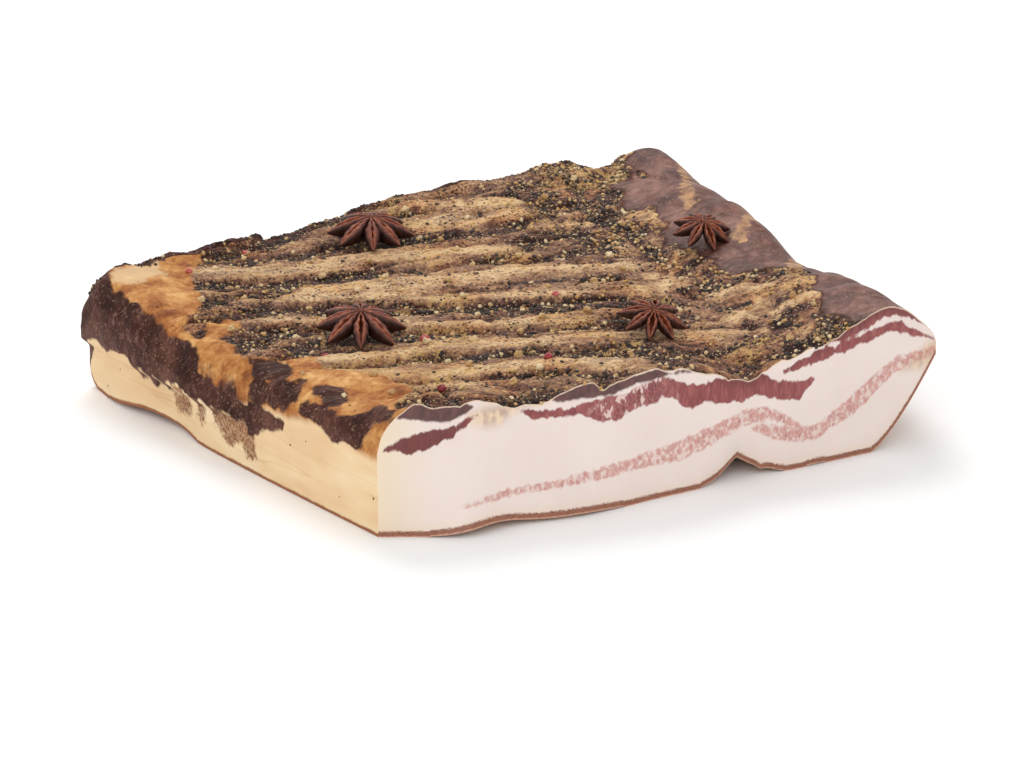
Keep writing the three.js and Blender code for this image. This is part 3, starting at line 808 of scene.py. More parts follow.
def colour(red, green, blue):
    """A colour as it is seen on a screen, 0 to 255, as the linear light that nodes expect."""
    screen = np.array([red, green, blue]) / 255
    linear = np.where(screen < 0.04045, screen / 12.92, ((screen + 0.055) / 1.055) ** 2.4)
    return (*linear.tolist(), 1.0)


def new_material(name):
    material = bpy.data.materials.new(name)
    material.use_nodes = True
    nodes = Nodes(material.node_tree)
    shader = material.node_tree.nodes["Principled BSDF"]
    return material, nodes, shader


def dress(nodes, shader, settings):
    """Gives the shader its inputs, each a number or the socket of a node."""
    for name, value in settings.items():
        nodes.wire(shader.inputs[name], value)


# %% [markdown]
# ## Shared effect: mottling
# Nothing on food is one even colour. Two noises of different size, one group, and every
# material asks it for a shade to mix by and for a height to bump by.

# %% Mottle group
def add_sockets(group, way, kinds):
    for name, kind in kinds.items():
        group.interface.new_socket(name, in_out=way, socket_type=f"NodeSocket{kind}")


def mottle_group():
    group = bpy.data.node_groups.new("mottle", "ShaderNodeTree")
    add_sockets(group, "INPUT", {"Vector": "Vector", "Scale": "Float", "Contrast": "Float"})
    add_sockets(group, "OUTPUT", {"Shade": "Float", "Height": "Float"})
    nodes = Nodes(group)
    given = group.nodes.new("NodeGroupInput")
    vector, scale, contrast = given.outputs[:3]
    broad = nodes.noise(vector, scale, detail=2.0)
    fine = nodes.noise(vector, nodes.times(scale, 4.7), detail=3.0, roughness=0.7)
    both = nodes.plus(nodes.times(broad, 0.6), nodes.times(fine, 0.4))
    spread = nodes.math("MULTIPLY_ADD", nodes.math("SUBTRACT", both, 0.5), contrast, 0.5)
    result = group.nodes.new("NodeGroupOutput")
    shade = nodes.larger(nodes.math("MINIMUM", spread, 1.0), 0.0)
    nodes.wire(result.inputs["Shade"], shade)
    nodes.wire(result.inputs["Height"], both)
    return group


MOTTLE = mottle_group()


def mottle(nodes, vector, scale, contrast=3.0, out="Shade"):
    return nodes.add("ShaderNodeGroup", vector, scale, contrast, out=out, node_tree=MOTTLE)


print("groups:", [group.name for group in bpy.data.node_groups])

# %% [markdown]
# ## Cured surface
# Under the rub the skin is tan on the ribs and nearly black in the furrows, from pepper dust
# and painted shade. The left strip is golden fat, the flank and the patches are dried lean with
# a pale bloom, partly painted highlight. One material paints them all, because they run into
# each other, and the fields say where each begins. A little noise is added to a field before
# its border is cut, so that the border frays.

# %% Cured material
def frayed(nodes, field, fray, softness=1.0):
    """A mask from a field, its border moved about by a noise."""
    moved = nodes.plus(field, fray)
    return nodes.step(moved, -softness, softness)


def signed(nodes, value, amount):
    """A noise that was 0 to 1, now from minus to plus half the amount."""
    return nodes.times(nodes.math("SUBTRACT", value, 0.5), amount)


def specks(nodes, place, scale, size, rarity):
    """Round marks in the cells of a Voronoi texture, fewer the nearer rarity is to 1."""
    near = nodes.step(nodes.cells(place, scale), size, size * 0.6)
    chosen = nodes.step(nodes.cells(place, scale, out="Color"), rarity, rarity + 0.04)
    return nodes.times(near, chosen)


def rubbed_skin(nodes, place, along, fray):
    """Tan ribs with fine streaks along them, and brown furrows with dust and painted shade."""
    streaks = nodes.long_noise(along, (0.04, 0.3, 0.2), 4.0, 0.65)
    fibres = nodes.long_noise(along, (0.1, 1.1, 0.8), 4.0, 0.7)
    ribbed = nodes.step(nodes.attr("flat"), 1.0, 0.0, 0.25, 1.0)
    streaked = nodes.plus(signed(nodes, streaks, 0.42), signed(nodes, fibres, 0.3))
    tone = nodes.math("MULTIPLY_ADD", streaked, ribbed, nodes.attr("tone"))
    tone = nodes.plus(tone, signed(nodes, fray, 0.6))
    tone = nodes.plus(tone, signed(nodes, nodes.noise(place, 520.0, 2.0, 0.8), 0.8))
    # Near black in the furrows, where the tone field carries painted shade as well as pepper dust.
    skin = nodes.ramp(tone, [
        (0.14, 38, 22, 20), (0.30, 70, 42, 35), (0.40, 104, 70, 57),
        (0.49, 140, 101, 80), (0.61, 174, 132, 100), (0.74, 204, 162, 120),
        (0.9, 232, 196, 150),
    ])
    warm = nodes.step(nodes.noise(place, 36.0, 4.0), 0.46, 0.64)
    skin = nodes.blend(nodes.times(warm, 0.5), skin, colour(232, 184, 134), "MULTIPLY")
    mauve = nodes.step(nodes.long_noise(along, (0.03, 0.12, 0.1), 4.0, 0.7), 0.5, 0.62)
    skin = nodes.paint(skin, mauve, 0.5, colour(116, 82, 76))
    yellow = nodes.times(nodes.step(nodes.noise(place, 30.0, 2.0), 0.52, 0.62),
                         nodes.step(nodes.noise(place, 330.0, 3.0, 0.8), 0.48, 0.56))
    skin = nodes.paint(skin, yellow, 0.65, colour(224, 180, 112))
    marks = nodes.step(nodes.long_noise(along, (0.35, 0.7, 0.6), 5.0, 0.8), 0.56, 0.62)
    skin = nodes.paint(skin, marks, 0.75, colour(60, 40, 32))

    flecked = nodes.times(specks(nodes, place, 640.0, 0.5, 0.5),
                          nodes.step(nodes.noise(place, 70.0, 2.0), 0.4, 0.6, 0.25, 0.95))
    skin = nodes.blend(flecked, skin, colour(38, 26, 21))
    skin = nodes.paint(skin, specks(nodes, place, 560.0, 0.4, 0.66), 0.7, colour(214, 182, 134))
    dust = nodes.step(nodes.cells(place, 760.0), 0.34, 0.2)
    dusty = nodes.times(dust, nodes.step(nodes.attr("pepper"), 0.05, 0.6, 0.05, 0.9))
    skin = nodes.blend(dusty, skin, colour(30, 21, 18))
    ashy = nodes.times(specks(nodes, place, 1000.0, 0.4, 0.55),
                       nodes.step(nodes.attr("pale"), 0.02, 0.6, 0.1, 0.8))
    return nodes.blend(ashy, skin, colour(204, 184, 156))


def golden_fat(nodes, place):
    """Orange-brown fat on top, pale yellow fat with thin level lines down the wall."""
    # A little of the tone field, with its painted furrow shade, shifts the crust.
    tone = nodes.plus(mottle(nodes, place, 75.0, 2.3), signed(nodes, nodes.attr("tone"), 0.15))
    crust = nodes.ramp(tone, [
        (0.10, 122, 68, 34), (0.36, 164, 102, 52), (0.62, 192, 136, 78),
        (0.9, 220, 172, 110),
    ])
    clouds = nodes.long_noise(place, (40.0, 22.0, 70.0), 2.0)
    wall = nodes.ramp(clouds, [(0.25, 222, 186, 142), (0.5, 231, 201, 158),
                               (0.8, 240, 220, 186)])
    level = nodes.long_noise(place, (9.0, 5.0, 110.0), 1.0)
    line = nodes.step(nodes.math("ABSOLUTE", signed(nodes, level, 1.0)), 0.012, 0.0, 0.0, 0.3)
    wall = nodes.blend(line, wall, colour(196, 146, 96))
    fat = nodes.blend(nodes.attr("wall"), crust, wall)
    return nodes.blend(specks(nodes, place, 170.0, 0.12, 0.6), fat, colour(50, 34, 26))


def dried_lean(nodes, place, along):
    """Dark brown lean, paler on the flank, with pale streaks low on the walls and a few specks."""
    fibres = nodes.long_noise(along, (0.2, 0.9, 0.9), 4.0, 0.7)
    tone = nodes.plus(mottle(nodes, place, 50.0, 2.4), signed(nodes, fibres, 0.3))
    dark = nodes.ramp(tone, [(0.15, 40, 17, 11), (0.5, 66, 34, 25),
                             (0.9, 104, 66, 54)])
    bare = nodes.ramp(tone, [(0.12, 60, 29, 21), (0.5, 97, 57, 46),
                             (0.9, 146, 102, 87)])
    lean = nodes.blend(nodes.step(nodes.attr("flank"), 0.0, 4.0), dark, bare)
    streaks = nodes.long_noise(place, (150.0, 260.0, 60.0), 3.0, 0.6, distortion=0.6)
    low = nodes.times(nodes.step(nodes.attr("depth"), 12.0, 28.0),
                      nodes.step(streaks, 0.35, 0.65, 0.1, 0.7))
    lean = nodes.blend(low, lean, colour(124, 92, 84))
    # Pale streaks over the lean: partly its dry bloom, partly painted highlight.
    bloom_and_highlight = nodes.long_noise(along, (0.07, 0.4, 0.3), 4.0, 0.7, distortion=1.6)
    bloom_and_highlight = nodes.step(bloom_and_highlight, 0.52, 0.68, 0.0, 0.5)
    lean = nodes.blend(bloom_and_highlight, lean, colour(150, 114, 102))
    return nodes.paint(lean, specks(nodes, place, 640.0, 0.34, 0.72), 0.5, colour(176, 142, 104))


def cured_material():
    material, nodes, shader = new_material("cured surface")
    place = nodes.add("ShaderNodeTexCoord", out="Object")
    along = nodes.attr("fan", out="Vector")
    fray = nodes.noise(place, 160.0, detail=4.0, roughness=0.7)
    gold_mask = frayed(nodes, nodes.attr("golden"), signed(nodes, fray, 8.0), 1.2)
    gold_mask = nodes.larger(gold_mask, nodes.attr("wall"))
    lean_field = nodes.larger(nodes.attr("dark"), nodes.attr("flank"))
    lean_mask = frayed(nodes, lean_field, signed(nodes, fray, 4.0), 0.8)
    skin = nodes.blend(gold_mask, rubbed_skin(nodes, place, along, fray), golden_fat(nodes, place))
    rusty = frayed(nodes, nodes.attr("rust"), signed(nodes, fray, 12.0), 2.0)
    crumbly = nodes.step(nodes.noise(place, 640.0, 2.0, 0.8), 0.42, 0.58, 0.6, 0.95)
    skin = nodes.blend(nodes.times(rusty, crumbly), skin, colour(128, 78, 50))
    pale = frayed(nodes, nodes.attr("corner"), signed(nodes, fray, 9.0), 1.5)
    skin = nodes.paint(skin, pale, 0.65, colour(226, 196, 152))
    skin = nodes.blend(lean_mask, skin, dried_lean(nodes, place, along))
    seam_mask = frayed(nodes, nodes.math("SUBTRACT", nodes.attr("seam"), 0.9),
                       signed(nodes, fray, 13.0), 1.2)
    skin = nodes.paint(skin, seam_mask, 0.75, nodes.ramp(
        fray, [(0.38, 118, 76, 54), (0.62, 206, 158, 104)]))
    rind = nodes.step(nodes.plus(nodes.attr("rind"), signed(nodes, fray, 1.6)), 2.0, 1.0)
    skin = nodes.blend(rind, skin, colour(150, 98, 68))

    bare = nodes.step(nodes.attr("flank"), 0.0, 4.0)
    grain = nodes.noise(place, 700.0, 3.0, 0.7)
    wrinkle = nodes.long_noise(along, (0.2, 0.9, 0.6), 5.0, 0.75)
    smooth_skin = nodes.larger(gold_mask, lean_mask)
    relief = nodes.bump(wrinkle, 0.0018, nodes.step(smooth_skin, 0.0, 1.0, 0.8, 0.12))
    dress(nodes, shader, {
        "Base Color": skin, "Roughness": nodes.step(bare, 0.0, 1.0, 0.66, 0.46),
        "Specular IOR Level": nodes.step(bare, 0.0, 1.0, 0.14, 0.22),
        "Normal": nodes.bump(grain, 0.0004, 0.6, relief)})
    return material


# %% [markdown]
# ## Fresh cut
# Raw-cured fat is almost white with a breath of pink, and light goes a little way into it, so
# the shader gets some subsurface. The deep red streaks are solid lean with frayed borders. The
# pale streak is lean broken up by fat: gaps from a stretched noise, and over them the faint
# cell borders of a Voronoi texture.

# %% Cut material
AGED = (-0.10, -0.132)           # across the cut in metres: where the fat yellows
LEFT_LIP = (-0.08, -0.096)       # where the lean darkens beside the left wall
GRAINY = ((-0.036, -0.026), (0.014, 0.0))    # the ends of the stretch of lean with gaps


def fat_network(nodes, place, scale, width):
    """1 on the pale walls between bundles of lean."""
    bent = nodes.add("ShaderNodeVectorMath", place, nodes.stretch(
        nodes.noise(place, 260.0, out="Color"), (0.0022, 0.0022, 0.0022)), operation="ADD")
    walls = nodes.cells(nodes.stretch(bent, (1.0, 1.0, 0.62)), scale, "DISTANCE_TO_EDGE")
    return nodes.step(walls, width, 0.0)


def cut_material():
    material, nodes, shader = new_material("fresh cut")
    place = nodes.add("ShaderNodeTexCoord", out="Object")
    rough_noise = nodes.noise(nodes.stretch(place, (1.0, 1.0, 0.5)), 330.0, 3.0, 0.6)
    broad = nodes.noise(place, 26.0, 2.0)
    separate = nodes.tree.nodes.new("ShaderNodeSeparateXYZ")
    nodes.wire(separate.inputs[0], place)
    across = separate.outputs["X"]

    fat = nodes.ramp(broad, [(0.3, 226, 210, 202), (0.7, 232, 217, 209)])
    aged = nodes.step(across, *AGED)
    fat = nodes.paint(fat, aged, 0.8, colour(226, 206, 170))
    stain = nodes.step(nodes.plus(nodes.attr("stain"), signed(nodes, rough_noise, 8.0)), -3.0, 4.0)
    fat = nodes.paint(fat, stain, 0.7, nodes.ramp(
        rough_noise, [(0.38, 160, 116, 82), (0.6, 226, 198, 160)]))
    near_rind = nodes.step(nodes.attr("rind"), 8.0, 1.5)
    fat = nodes.paint(fat, near_rind, 0.35, colour(226, 200, 172))

    clumps = nodes.noise(nodes.stretch(place, (1.0, 1.0, 0.7)), 480.0, 2.0, 0.5)
    network = nodes.times(fat_network(nodes, place, 560.0, 0.22), 0.3)
    pale_walls = nodes.larger(nodes.step(clumps, 0.47, 0.62, 0.0, 0.75), network)
    lower = frayed(nodes, nodes.attr("lower"), signed(nodes, rough_noise, 4.2), 0.8)
    lower = nodes.times(lower, nodes.math("SUBTRACT", 1.0, pale_walls))
    pale_lean = nodes.ramp(nodes.noise(place, 300.0, 2.0), [
        (0.3, 178, 106, 98), (0.7, 204, 140, 128)])
    cut = nodes.paint(fat, lower, 0.85, pale_lean)

    fibres = nodes.noise(nodes.stretch(place, (1.0, 1.0, 0.25)), 520.0, 3.0, 0.65)
    teeth = nodes.noise(nodes.stretch(place, (1.0, 1.0, 0.4)), 230.0, 2.0, 0.5)
    tooth = nodes.plus(signed(nodes, fibres, 2.4), signed(nodes, teeth, 5.0))
    upper = frayed(nodes, nodes.attr("upper"), tooth, 0.6)
    deep_lean = nodes.ramp(fibres, [
        (0.3, 118, 52, 56), (0.52, 142, 70, 70), (0.75, 166, 98, 92)])
    under_crust = nodes.step(nodes.attr("depth"), 6.0, 0.8, 0.0, 0.6)
    by_side = nodes.step(across, *LEFT_LIP, 0.0, 0.8)
    deep_lean = nodes.blend(nodes.larger(under_crust, by_side), deep_lean,
                            colour(100, 42, 40))
    cut = nodes.blend(upper, cut, deep_lean)
    grainy = nodes.times(*(nodes.step(across, *end) for end in GRAINY))
    gaps = nodes.step(nodes.noise(nodes.stretch(place, (1.0, 1.0, 0.55)), 250.0, 3.0, 0.6), 0.55, 0.62)
    veins = nodes.larger(gaps, nodes.times(fat_network(nodes, place, 640.0, 0.16), 0.15))
    veins = nodes.times(nodes.times(upper, veins), grainy)
    cut = nodes.paint(cut, veins, 0.85, colour(228, 202, 194))
    dried = frayed(nodes, nodes.attr("dried"), signed(nodes, rough_noise, 3.0), 0.7)
    brown_lean = nodes.ramp(rough_noise, [(0.3, 74, 44, 42), (0.7, 108, 70, 66)])
    cut = nodes.blend(dried, cut, brown_lean)
    crust = nodes.plus(nodes.attr("depth"), signed(nodes, rough_noise, 0.8))
    cut = nodes.blend(nodes.step(crust, 0.8, 0.4, 0.0, 0.8), cut, colour(220, 196, 170))

    granular = nodes.noise(place, 1500.0, 2.0, 0.7)
    edge = nodes.plus(nodes.attr("rind"), signed(nodes, granular, 2.4))
    brown_edge = nodes.ramp(granular, [(0.3, 112, 66, 48), (0.7, 164, 108, 82)])
    cut = nodes.blend(nodes.step(edge, 3.1, 2.2), cut, brown_edge)
    cut = nodes.blend(nodes.step(edge, 0.6, 0.4), cut, colour(200, 152, 128))
    height = nodes.plus(nodes.noise(place, 500.0, 3.0), nodes.times(lower, 0.3))
    dress(nodes, shader, {
        "Base Color": cut, "Roughness": nodes.step(rough_noise, 0.2, 0.8, 0.38, 0.5),
        "Normal": nodes.bump(height, 0.0003, 0.5), "Subsurface Weight": 0.12,
        "Subsurface Radius": (1.0, 0.45, 0.3), "Subsurface Scale": 0.003})
    return material


# %% [markdown]
# ## Rind
# The skin side: tan, leathery, with a net of shallow wrinkles and the dots of bristle pores.

# %% Rind material
def rind_material():
    material, nodes, shader = new_material("rind")
    place = nodes.add("ShaderNodeTexCoord", out="Object")
    shade = mottle(nodes, place, 60.0, 3.0)
    skin = nodes.ramp(shade, [(0.2, 142, 94, 66), (0.55, 178, 130, 92),
                              (0.9, 204, 160, 118)])
    pores = nodes.cells(place, 190.0)
    skin = nodes.blend(nodes.step(pores, 0.16, 0.06), skin, colour(96, 62, 46))
    net = nodes.cells(place, 120.0, "DISTANCE_TO_EDGE")
    relief = nodes.bump(nodes.step(net, 0.0, 0.2), 0.0006, 0.7)
    dress(nodes, shader, {
        "Base Color": skin, "Roughness": 0.5,
        "Normal": nodes.bump(nodes.step(pores, 0.05, 0.2), 0.0005, 0.6, relief)})
    return material


for make in (cured_material, cut_material, rind_material):
    slab.data.materials.append(make())
print("slab finishes:", [m.name for m in slab.data.materials])

# %% [markdown]
# ## Spices
# Thousands of grains lie on the rub, thick in the furrows and thin on the ribs. Geometry Nodes
# scatter them: points on the faces, one cut-sided grain on each, turned at random, then made
# real and knocked out of shape by a noise, so that no two grains are alike. The tree is built
# once, and each spice gives it other numbers. A small grain is an icosphere of 20 faces.

# %% Scatter tree
GRAIN_INPUTS = {"Field": "String", "Per Square Metre": "Float", "Smallest": "Float",
                "Largest": "Float", "Flatness": "Float", "Sink": "Float", "Knock": "Float",
                "Seed": "Int", "Material": "Material"}


def scatter_tree():
    tree = bpy.data.node_groups.new("grains on skin", "GeometryNodeTree")
    add_sockets(tree, "INPUT", {"Geometry": "Geometry", **GRAIN_INPUTS})
    add_sockets(tree, "OUTPUT", {"Geometry": "Geometry"})
    nodes = Nodes(tree)
    given = tree.nodes.new("NodeGroupInput").outputs
    thick = nodes.add("GeometryNodeInputNamedAttribute", given["Field"], data_type="FLOAT")
    density = nodes.times(thick, given["Per Square Metre"])
    scatter = tree.nodes.new("GeometryNodeDistributePointsOnFaces")
    for key, value in {"Mesh": given["Geometry"], "Density": density,
                       "Seed": given["Seed"]}.items():
        nodes.wire(scatter.inputs[key], value)
    grain = nodes.add("GeometryNodeMeshIcoSphere", 1.0, 1)
    size = nodes.add("FunctionNodeRandomValue", out=1, data_type="FLOAT", named={
        2: given["Smallest"], 3: given["Largest"], "Seed": given["Seed"]})
    turn = nodes.add("FunctionNodeRandomValue", data_type="FLOAT_VECTOR", named={
        1: (0.5, 0.5, 6.28), "Seed": given["Seed"]})
    turned = nodes.add("FunctionNodeRotateRotation", scatter.outputs["Rotation"], turn,
                       rotation_space="LOCAL")
    shape = nodes.add("ShaderNodeCombineXYZ", size, nodes.times(size, 0.8),
                      nodes.times(size, given["Flatness"]))
    placed = nodes.add("GeometryNodeInstanceOnPoints", named={
        "Points": scatter.outputs["Points"], "Instance": grain, "Rotation": turned,
        "Scale": shape})
    tint = nodes.add("FunctionNodeRandomValue", out=1, data_type="FLOAT", named={"Seed": 7})
    tinted = nodes.add("GeometryNodeStoreNamedAttribute", placed, None, "tint", tint,
                       data_type="FLOAT", domain="INSTANCE")
    sunk = nodes.add("GeometryNodeTranslateInstances", named={
        "Instances": tinted, "Translation": nodes.add(
            "ShaderNodeCombineXYZ", 0.0, 0.0, nodes.times(size, given["Sink"]))})
    real = nodes.add("GeometryNodeRealizeInstances", sunk)
    jolt = nodes.noise(nodes.add("GeometryNodeInputPosition"), 900.0, 1.0, out="Color")
    push = nodes.add("ShaderNodeVectorMath", jolt, (0.5, 0.5, 0.5), operation="SUBTRACT")
    push = nodes.add("ShaderNodeVectorMath", push, None, None, given["Knock"], operation="SCALE")
    knocked = nodes.add("GeometryNodeSetPosition", real, None, None, push)
    finished = nodes.add("GeometryNodeSetMaterial", knocked, None, given["Material"])
    nodes.wire(tree.nodes.new("NodeGroupOutput").inputs[0], finished)
    return tree


SCATTER = scatter_tree()


def grow(name, host, tree, settings):
    """Runs a tree on a host's mesh and keeps the result as a plain mesh of its own."""
    maker = new_object(name, host.data)
    modifier = maker.modifiers.new("maker", "NODES")
    modifier.node_group = tree
    sockets = {item.name: item.identifier for item in tree.interface.items_tree
               if item.in_out == "INPUT"}
    for key, value in settings.items():
        modifier[sockets[key]] = value
    ready = maker.evaluated_get(bpy.context.evaluated_depsgraph_get())
    mesh = bpy.data.meshes.new_from_object(ready)
    mesh.name = name
    maker.modifiers.remove(modifier)
    maker.data = mesh
    print(f"{name}: {sum(len(p.vertices) - 2 for p in mesh.polygons)} triangles")
    return maker


def grain_material(name, stops, roughness, speckle):
    material, nodes, shader = new_material(name)
    place = nodes.add("ShaderNodeTexCoord", out="Object")
    base = nodes.ramp(nodes.attr("tint"), stops)
    darker = nodes.blend(1.0, base, colour(190, 168, 144), "MULTIPLY")
    height = mottle(nodes, place, 900.0, 3.0, out="Height")
    dress(nodes, shader, {
        "Base Color": nodes.blend(mottle(nodes, place, 600.0, speckle), darker, base),
        "Normal": nodes.bump(height, 0.0003, 0.6), "Roughness": roughness})
    return material


black_pepper = grain_material("black pepper", [
    (0.0, 30, 21, 17), (0.55, 56, 41, 33), (0.8, 98, 74, 56),
    (0.97, 160, 130, 94)], 0.6, 2.0)
white_pepper = grain_material("white pepper", [
    (0.0, 190, 150, 96), (0.5, 222, 190, 134), (0.9, 246, 226, 184)],
    0.6, 1.5)
mustard = grain_material("mustard crumb", [
    (0.0, 156, 112, 60), (0.5, 204, 158, 88), (0.95, 232, 194, 118)],
    0.55, 2.0)

SPICES = {  # a value for each of GRAIN_INPUTS, lengths in metres
    "black_pepper_grains": (
        "pepper", 230000.0, 0.00035, 0.0013, 0.7, 0.25, 0.0007, 3, black_pepper),
    "white_pepper_grains": (
        "pale", 60000.0, 0.0004, 0.0015, 0.75, 0.3, 0.0007, 11, white_pepper),
    "mustard_crumbs": (
        "crumb", 45000.0, 0.0004, 0.0014, 0.6, 0.1, 0.0008, 19, mustard),
}
spices = [grow(name, slab, SCATTER, dict(zip(GRAIN_INPUTS, values)))
          for name, values in SPICES.items()]

# %% [markdown]
# ## Pink peppercorns and seeds
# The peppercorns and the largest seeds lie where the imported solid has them. The seeds follow the
# same evenly spread sequence: a low-discrepancy pair of steps never bunches up or leaves a bald
# patch. Only a few peppercorns are pink, so those are placed one by one.

# %% Places of the large spices
SPICE_COUNT, SPICE_INSET = 140, 12
SPREAD = (0.7548776662, 0.5698402910)    # steps that never bunch up


def seed_places():
    found = []
    for n in range(1, SPICE_COUNT + 1):
        s, t = (0.5 + n * SPREAD[0]) % 1, (0.5 + n * SPREAD[1]) % 1
        x, y = plan_point(s, t)
        left, right, back = edge_distances(s, t)
        radius = 1 + 0.9 * draw(n)
        clear = all(math.hypot(x - at[0], y - at[1]) > reach + radius + 2
                    for at, reach, *_ in STARS + PEPPERCORNS)
        on_flank = right < 40 + 22 * bell(y - 200, 50)
        near_edge = min(left, right, back, t * SIDE_DEPTH) < SPICE_INSET
        if clear and not on_flank and not near_edge:
            found.append((x, y, radius, n))
    return found


def grain_shape(radius, n, steps, wrinkle):
    """An uneven ball: points and faces, its poles closed."""
    rings, sides = steps
    rows = [np.array([[0, 0, -1.0]])]
    for k in range(1, rings):
        polar, turns = math.pi * k / rings, np.arange(sides) * 2 * math.pi / sides
        rows.append(np.stack([np.sin(polar) * np.cos(turns), np.sin(polar) * np.sin(turns),
                              0 * turns - math.cos(polar)], -1))
    ball = np.concatenate(rows + [np.array([[0, 0, 1.0]])])
    bumps = 1 + wrinkle * noise(ball[:, 0] * 2.3 + 9 * n, ball[:, 1] * 2.3 + ball[:, 2] * 1.7, n)
    squash = np.array([1 + 0.2 * draw(n + 900), 1, 0.85])
    turn = 2 * math.pi * draw(n + 500)
    spin = np.array([[math.cos(turn), math.sin(turn), 0], [-math.sin(turn), math.cos(turn), 0],
                     [0, 0, 1]])
    last = len(ball) - 1
    faces = [(0, 1 + (k + 1) % sides, 1 + k) for k in range(sides)]
    for row in range(rings - 2):
        low = 1 + row * sides
        faces += [(low + k, low + (k + 1) % sides, low + sides + (k + 1) % sides, low + sides + k)
                  for k in range(sides)]
    top = last - sides
    faces += [(last, top + k, top + (k + 1) % sides) for k in range(sides)]
    return ball * bumps[:, None] * squash @ spin * radius, faces


def joined(parts):
    """Closed shapes as one: each part is points, faces and a value or a value a point."""
    starts = np.cumsum([0] + [len(shape) for shape, _, _ in parts]).tolist()
    all_faces = [tuple(start + k for k in face)
                 for start, (_, shape_faces, _) in zip(starts, parts) for face in shape_faces]
    values = [np.broadcast_to(value, len(shape)) for shape, _, value in parts]
    return np.concatenate([shape for shape, _, _ in parts]), all_faces, np.concatenate(values)


def new_piece(name, world, piece_faces, field, values, material):
    mesh = bpy.data.meshes.new(name)
    mesh.from_pydata(world.tolist(), [], piece_faces)
    mesh.attributes.new(field, "FLOAT", "POINT").data.foreach_set("value", values)
    mesh.materials.append(material)
    print(f"{name}: {sum(len(face) - 2 for face in piece_faces)} triangles")
    return new_object(name, mesh)


def on_top(x, y):
    """The height of the slab's nearest point of the top."""
    top = points[places[:, 2] == 0]
    return top[np.argmin(np.hypot(top[:, 0] - x, top[:, 1] - y)), 2]


def large_spices():
    seeds = [(x, y, radius, n, (5, 7), 0.5) for x, y, radius, n in seed_places()]
    pinks = [(x, y, radius, n, (9, 14), 0.3) for n, ((x, y), radius) in enumerate(PEPPERCORNS)]
    pink_skin = grain_material("pink pepper", [
        (0.0, 140, 34, 40), (0.5, 196, 66, 76), (0.95, 224, 120, 116)],
        0.4, 3.0)
    made = []
    for name, kind, material in (("seed_halves", seeds, white_pepper),
                                 ("pink_peppercorns", pinks, pink_skin)):
        parts = []
        for x, y, radius, n, steps, wrinkle in kind:
            shape, shape_faces = grain_shape(radius, n, steps, wrinkle)
            centre = [x, y, on_top(x, y) + radius * 0.4]
            parts.append((shape + centre, shape_faces, draw(n + 77)))
        shape, all_faces, tints = joined(parts)
        made.append(new_piece(name, in_world(shape), all_faces, "tint", tints, material))
    return made


spices += large_spices()

# %% [markdown]
# ## Star anise
# Eight boat-shaped husks round a short stem. Each is lofted from sections along its length:
# a keel below, bulging sides, and two lips that gape over a hollow. The sizes follow the
# imported solid. A field marks the lips and the hollow, which are paler than the dark sides,
# whose dark brown is partly their own colour and partly painted shade.

# %% Husks
HUSKS = 8
HUSK_RINGS = 18
HUSK_ROUND = [(1, k) for k in range(12)] + [(-1, k) for k in range(10, 0, -1)]
HUSK_PALE = [0, 0, 0, 0, 0, 0.02, 0.5, 1, 0.9, 0.6, 0.45, 0.4]  # from the keel to the hollow
HUSK_WOBBLE, STEM_PALE = 0.12, 0.55


def husk(radius, n):
    """Points, faces and paleness of one husk that points along +X."""
    length = radius * (0.9 + 0.1 * draw(n))
    openness = 0.12 + 0.48 * draw(n + 40) ** 1.5
    rings = []
    for share in np.linspace(0.05, 1, HUSK_RINGS):
        bulge = max(0, math.sin(math.pi * share ** 0.85)) ** 0.8
        wide = radius * max(0.01, min(0.02 + 0.15 * bulge, 0.36 * share))
        keel = radius * (0.1 * (1 - share) ** 2 + 0.1 * share ** 4)
        lip = radius * (0.55 - 0.4 * share ** 2)
        gape = wide * mix(0.06, openness, bulge ** 2)
        tall = lip - keel
        half = [(0, 0), (0.28 * wide, 0.04), (0.6 * wide, 0.18), (0.86 * wide, 0.42), (wide, 0.68),
                (0.94 * wide, 0.88), (mix(gape, wide, 0.5), 0.98), (gape, 1.0),
                (gape * 0.8, 0.93), (gape * 0.8, 0.7), (gape * 0.5, 0.5), (0, 0.45)]
        half = [(across, keel + level * tall) for across, level in half]
        wrinkle = 0.014 * radius * math.sin(share * 31 + n) * bulge
        rings.append([(length * share, side * (half[k][0] + wrinkle * (3 <= k <= 9)), half[k][1])
                      for side, k in HUSK_ROUND])
    size = len(HUSK_ROUND)
    faces = []
    for k in range(HUSK_RINGS - 1):
        for i in range(size):
            a, b = k * size + i, k * size + (i + 1) % size
            faces.append((a, b, b + size, a + size))
    faces.append(tuple(range(size))[::-1])
    faces.append(tuple((HUSK_RINGS - 1) * size + i for i in range(size)))
    pale = np.tile([HUSK_PALE[k] for _, k in HUSK_ROUND], HUSK_RINGS)
    return np.array(rings, float).reshape(-1, 3), faces, pale


def turned(points, degrees, axis):
    c, s = math.cos(math.radians(degrees)), math.sin(math.radians(degrees))
    spin = {"Z": [[c, -s, 0], [s, c, 0], [0, 0, 1]], "X": [[1, 0, 0], [0, c, -s], [0, s, c]]}
    return points @ np.array(spin[axis]).T


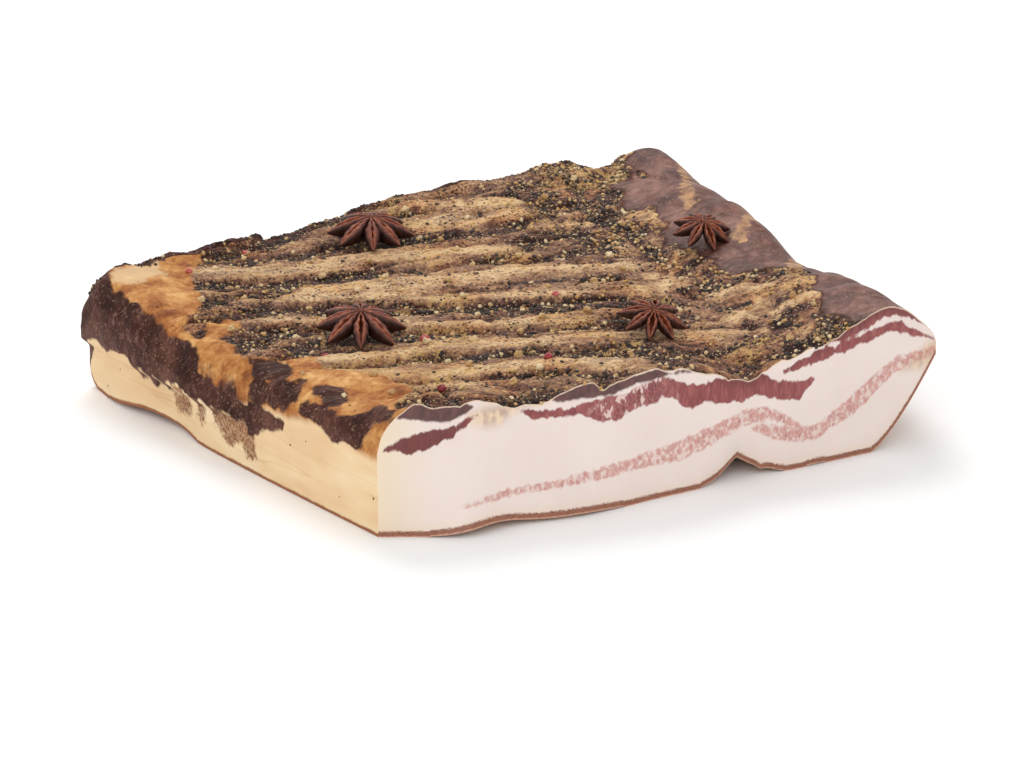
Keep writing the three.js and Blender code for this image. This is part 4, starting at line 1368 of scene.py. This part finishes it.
def make_star(index, material):
    at, radius, turn, tilt = STARS[index]
    parts = []
    for k in range(HUSKS):
        shape, shape_faces, pale = husk(radius, index * 20 + k + 1)
        wobble = HUSK_WOBBLE * (draw(index * 30 + k) - 0.5)
        angle = 360 * k / HUSKS + math.degrees(wobble)
        parts.append((turned(shape, angle, "Z"), shape_faces, pale))
    stem, stem_faces = grain_shape(1.0, 3 + index, (8, 12), 0.2)
    stem = stem * [radius * 0.11, radius * 0.11, radius * 0.24] + [0, 0, radius * 0.36]
    shape, all_faces, pale = joined(parts + [(stem, stem_faces, STEM_PALE)])
    shape = turned(turned(shape, turn, "Z"), tilt, "X") * MM
    node = f"star_anise_{index + 1}"
    low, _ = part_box(node)
    shape += [(at[0] - MIDDLE[0]) * MM, (at[1] - MIDDLE[1]) * MM, low[2] - shape[:, 2].min()]
    star = new_piece(f"husks_{index + 1}", shape, all_faces, "pale", pale, material)
    star.data.shade_smooth()
    return star


def anise_material():
    material, nodes, shader = new_material("star anise")
    place = nodes.add("ShaderNodeTexCoord", out="Object")
    streaks = nodes.noise(nodes.stretch(place, (1.0, 1.0, 0.4)), 700.0, 4.0, 0.7)
    # The sides run down to near black: their own dark brown and painted shade.
    side = nodes.ramp(streaks, [(0.3, 28, 13, 9), (0.58, 58, 27, 19),
                                (0.8, 98, 48, 32)])
    lip = nodes.ramp(mottle(nodes, place, 300.0, 3.0), [
        (0.2, 112, 50, 30), (0.6, 152, 76, 46), (0.95, 194, 116, 80)])
    dress(nodes, shader, {
        "Base Color": nodes.blend(nodes.attr("pale"), side, lip), "Roughness": 0.42,
        "Specular IOR Level": 0.35, "Normal": nodes.bump(streaks, 0.0009, 0.8)})
    return material


anise = anise_material()
stars = [make_star(index, anise) for index in range(len(STARS))]
print("stars:", [[round(v / MM, 1) for v in star.dimensions] for star in stars])

# %% [markdown]
# ## Light and floor
# A high-key product shot: a white floor that burns out to pure white except for a soft grey
# where the slab keeps the sky off it. The sky is even, a wide soft box hangs above and behind,
# and two more fill the cut in front and the wall on the left.

# %% Studio
SKY_STRENGTH, FLOOR_SHADE, FLOOR_REACH = 0.78, 0.95, 6
LIGHTS = [  # name, place, size in metres, watts
    ("over and behind", (0.2, 0.9, 1.3), 0.9, 11), ("front fill", (-0.6, -1.35, 0.9), 1.2, 6.5),
    ("left fill", (-1.5, 0.25, 0.5), 1.0, 2),
]


def soft_box(name, place, size, watts):
    data = bpy.data.lights.new(name, "AREA")
    data.shape, data.size, data.energy = "DISK", size, watts
    light = new_object(name, data)
    light.location = place
    light.rotation_euler = Vector(place).to_track_quat("Z", "Y").to_euler()


def make_studio():
    scene = bpy.context.scene
    scene.view_settings.view_transform = "Standard"
    scene.world = bpy.data.worlds.new("even sky")
    scene.world.use_nodes = True
    sky = scene.world.node_tree.nodes["Background"]
    sky.inputs["Color"].default_value = (1, 1, 1, 1)
    sky.inputs["Strength"].default_value = SKY_STRENGTH
    for light in LIGHTS:
        soft_box(*light)
    mesh = bpy.data.meshes.new("floor")
    corners = [(x * FLOOR_REACH, y * FLOOR_REACH, 0)
               for x, y in ((-1, -1), (1, -1), (1, 1), (-1, 1))]
    mesh.from_pydata(corners, [], [(0, 1, 2, 3)])
    floor = new_object("floor", mesh)
    material, nodes, shader = new_material("white floor")
    dress(nodes, shader, {"Base Color": (FLOOR_SHADE, FLOOR_SHADE, FLOOR_SHADE, 1),
                          "Roughness": 0.6})
    mesh.materials.append(material)
    return floor


floor = make_studio()

# %% [markdown]
# ## Hand over
# Each piece rides on the one body, and the imported solids they replace are hidden.

# %% Frame calls
for piece in [slab, *spices]:
    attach(piece, "root")
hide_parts("slab")
for index, star in enumerate(stars):
    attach(star, "root")
    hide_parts(f"star_anise_{index + 1}")
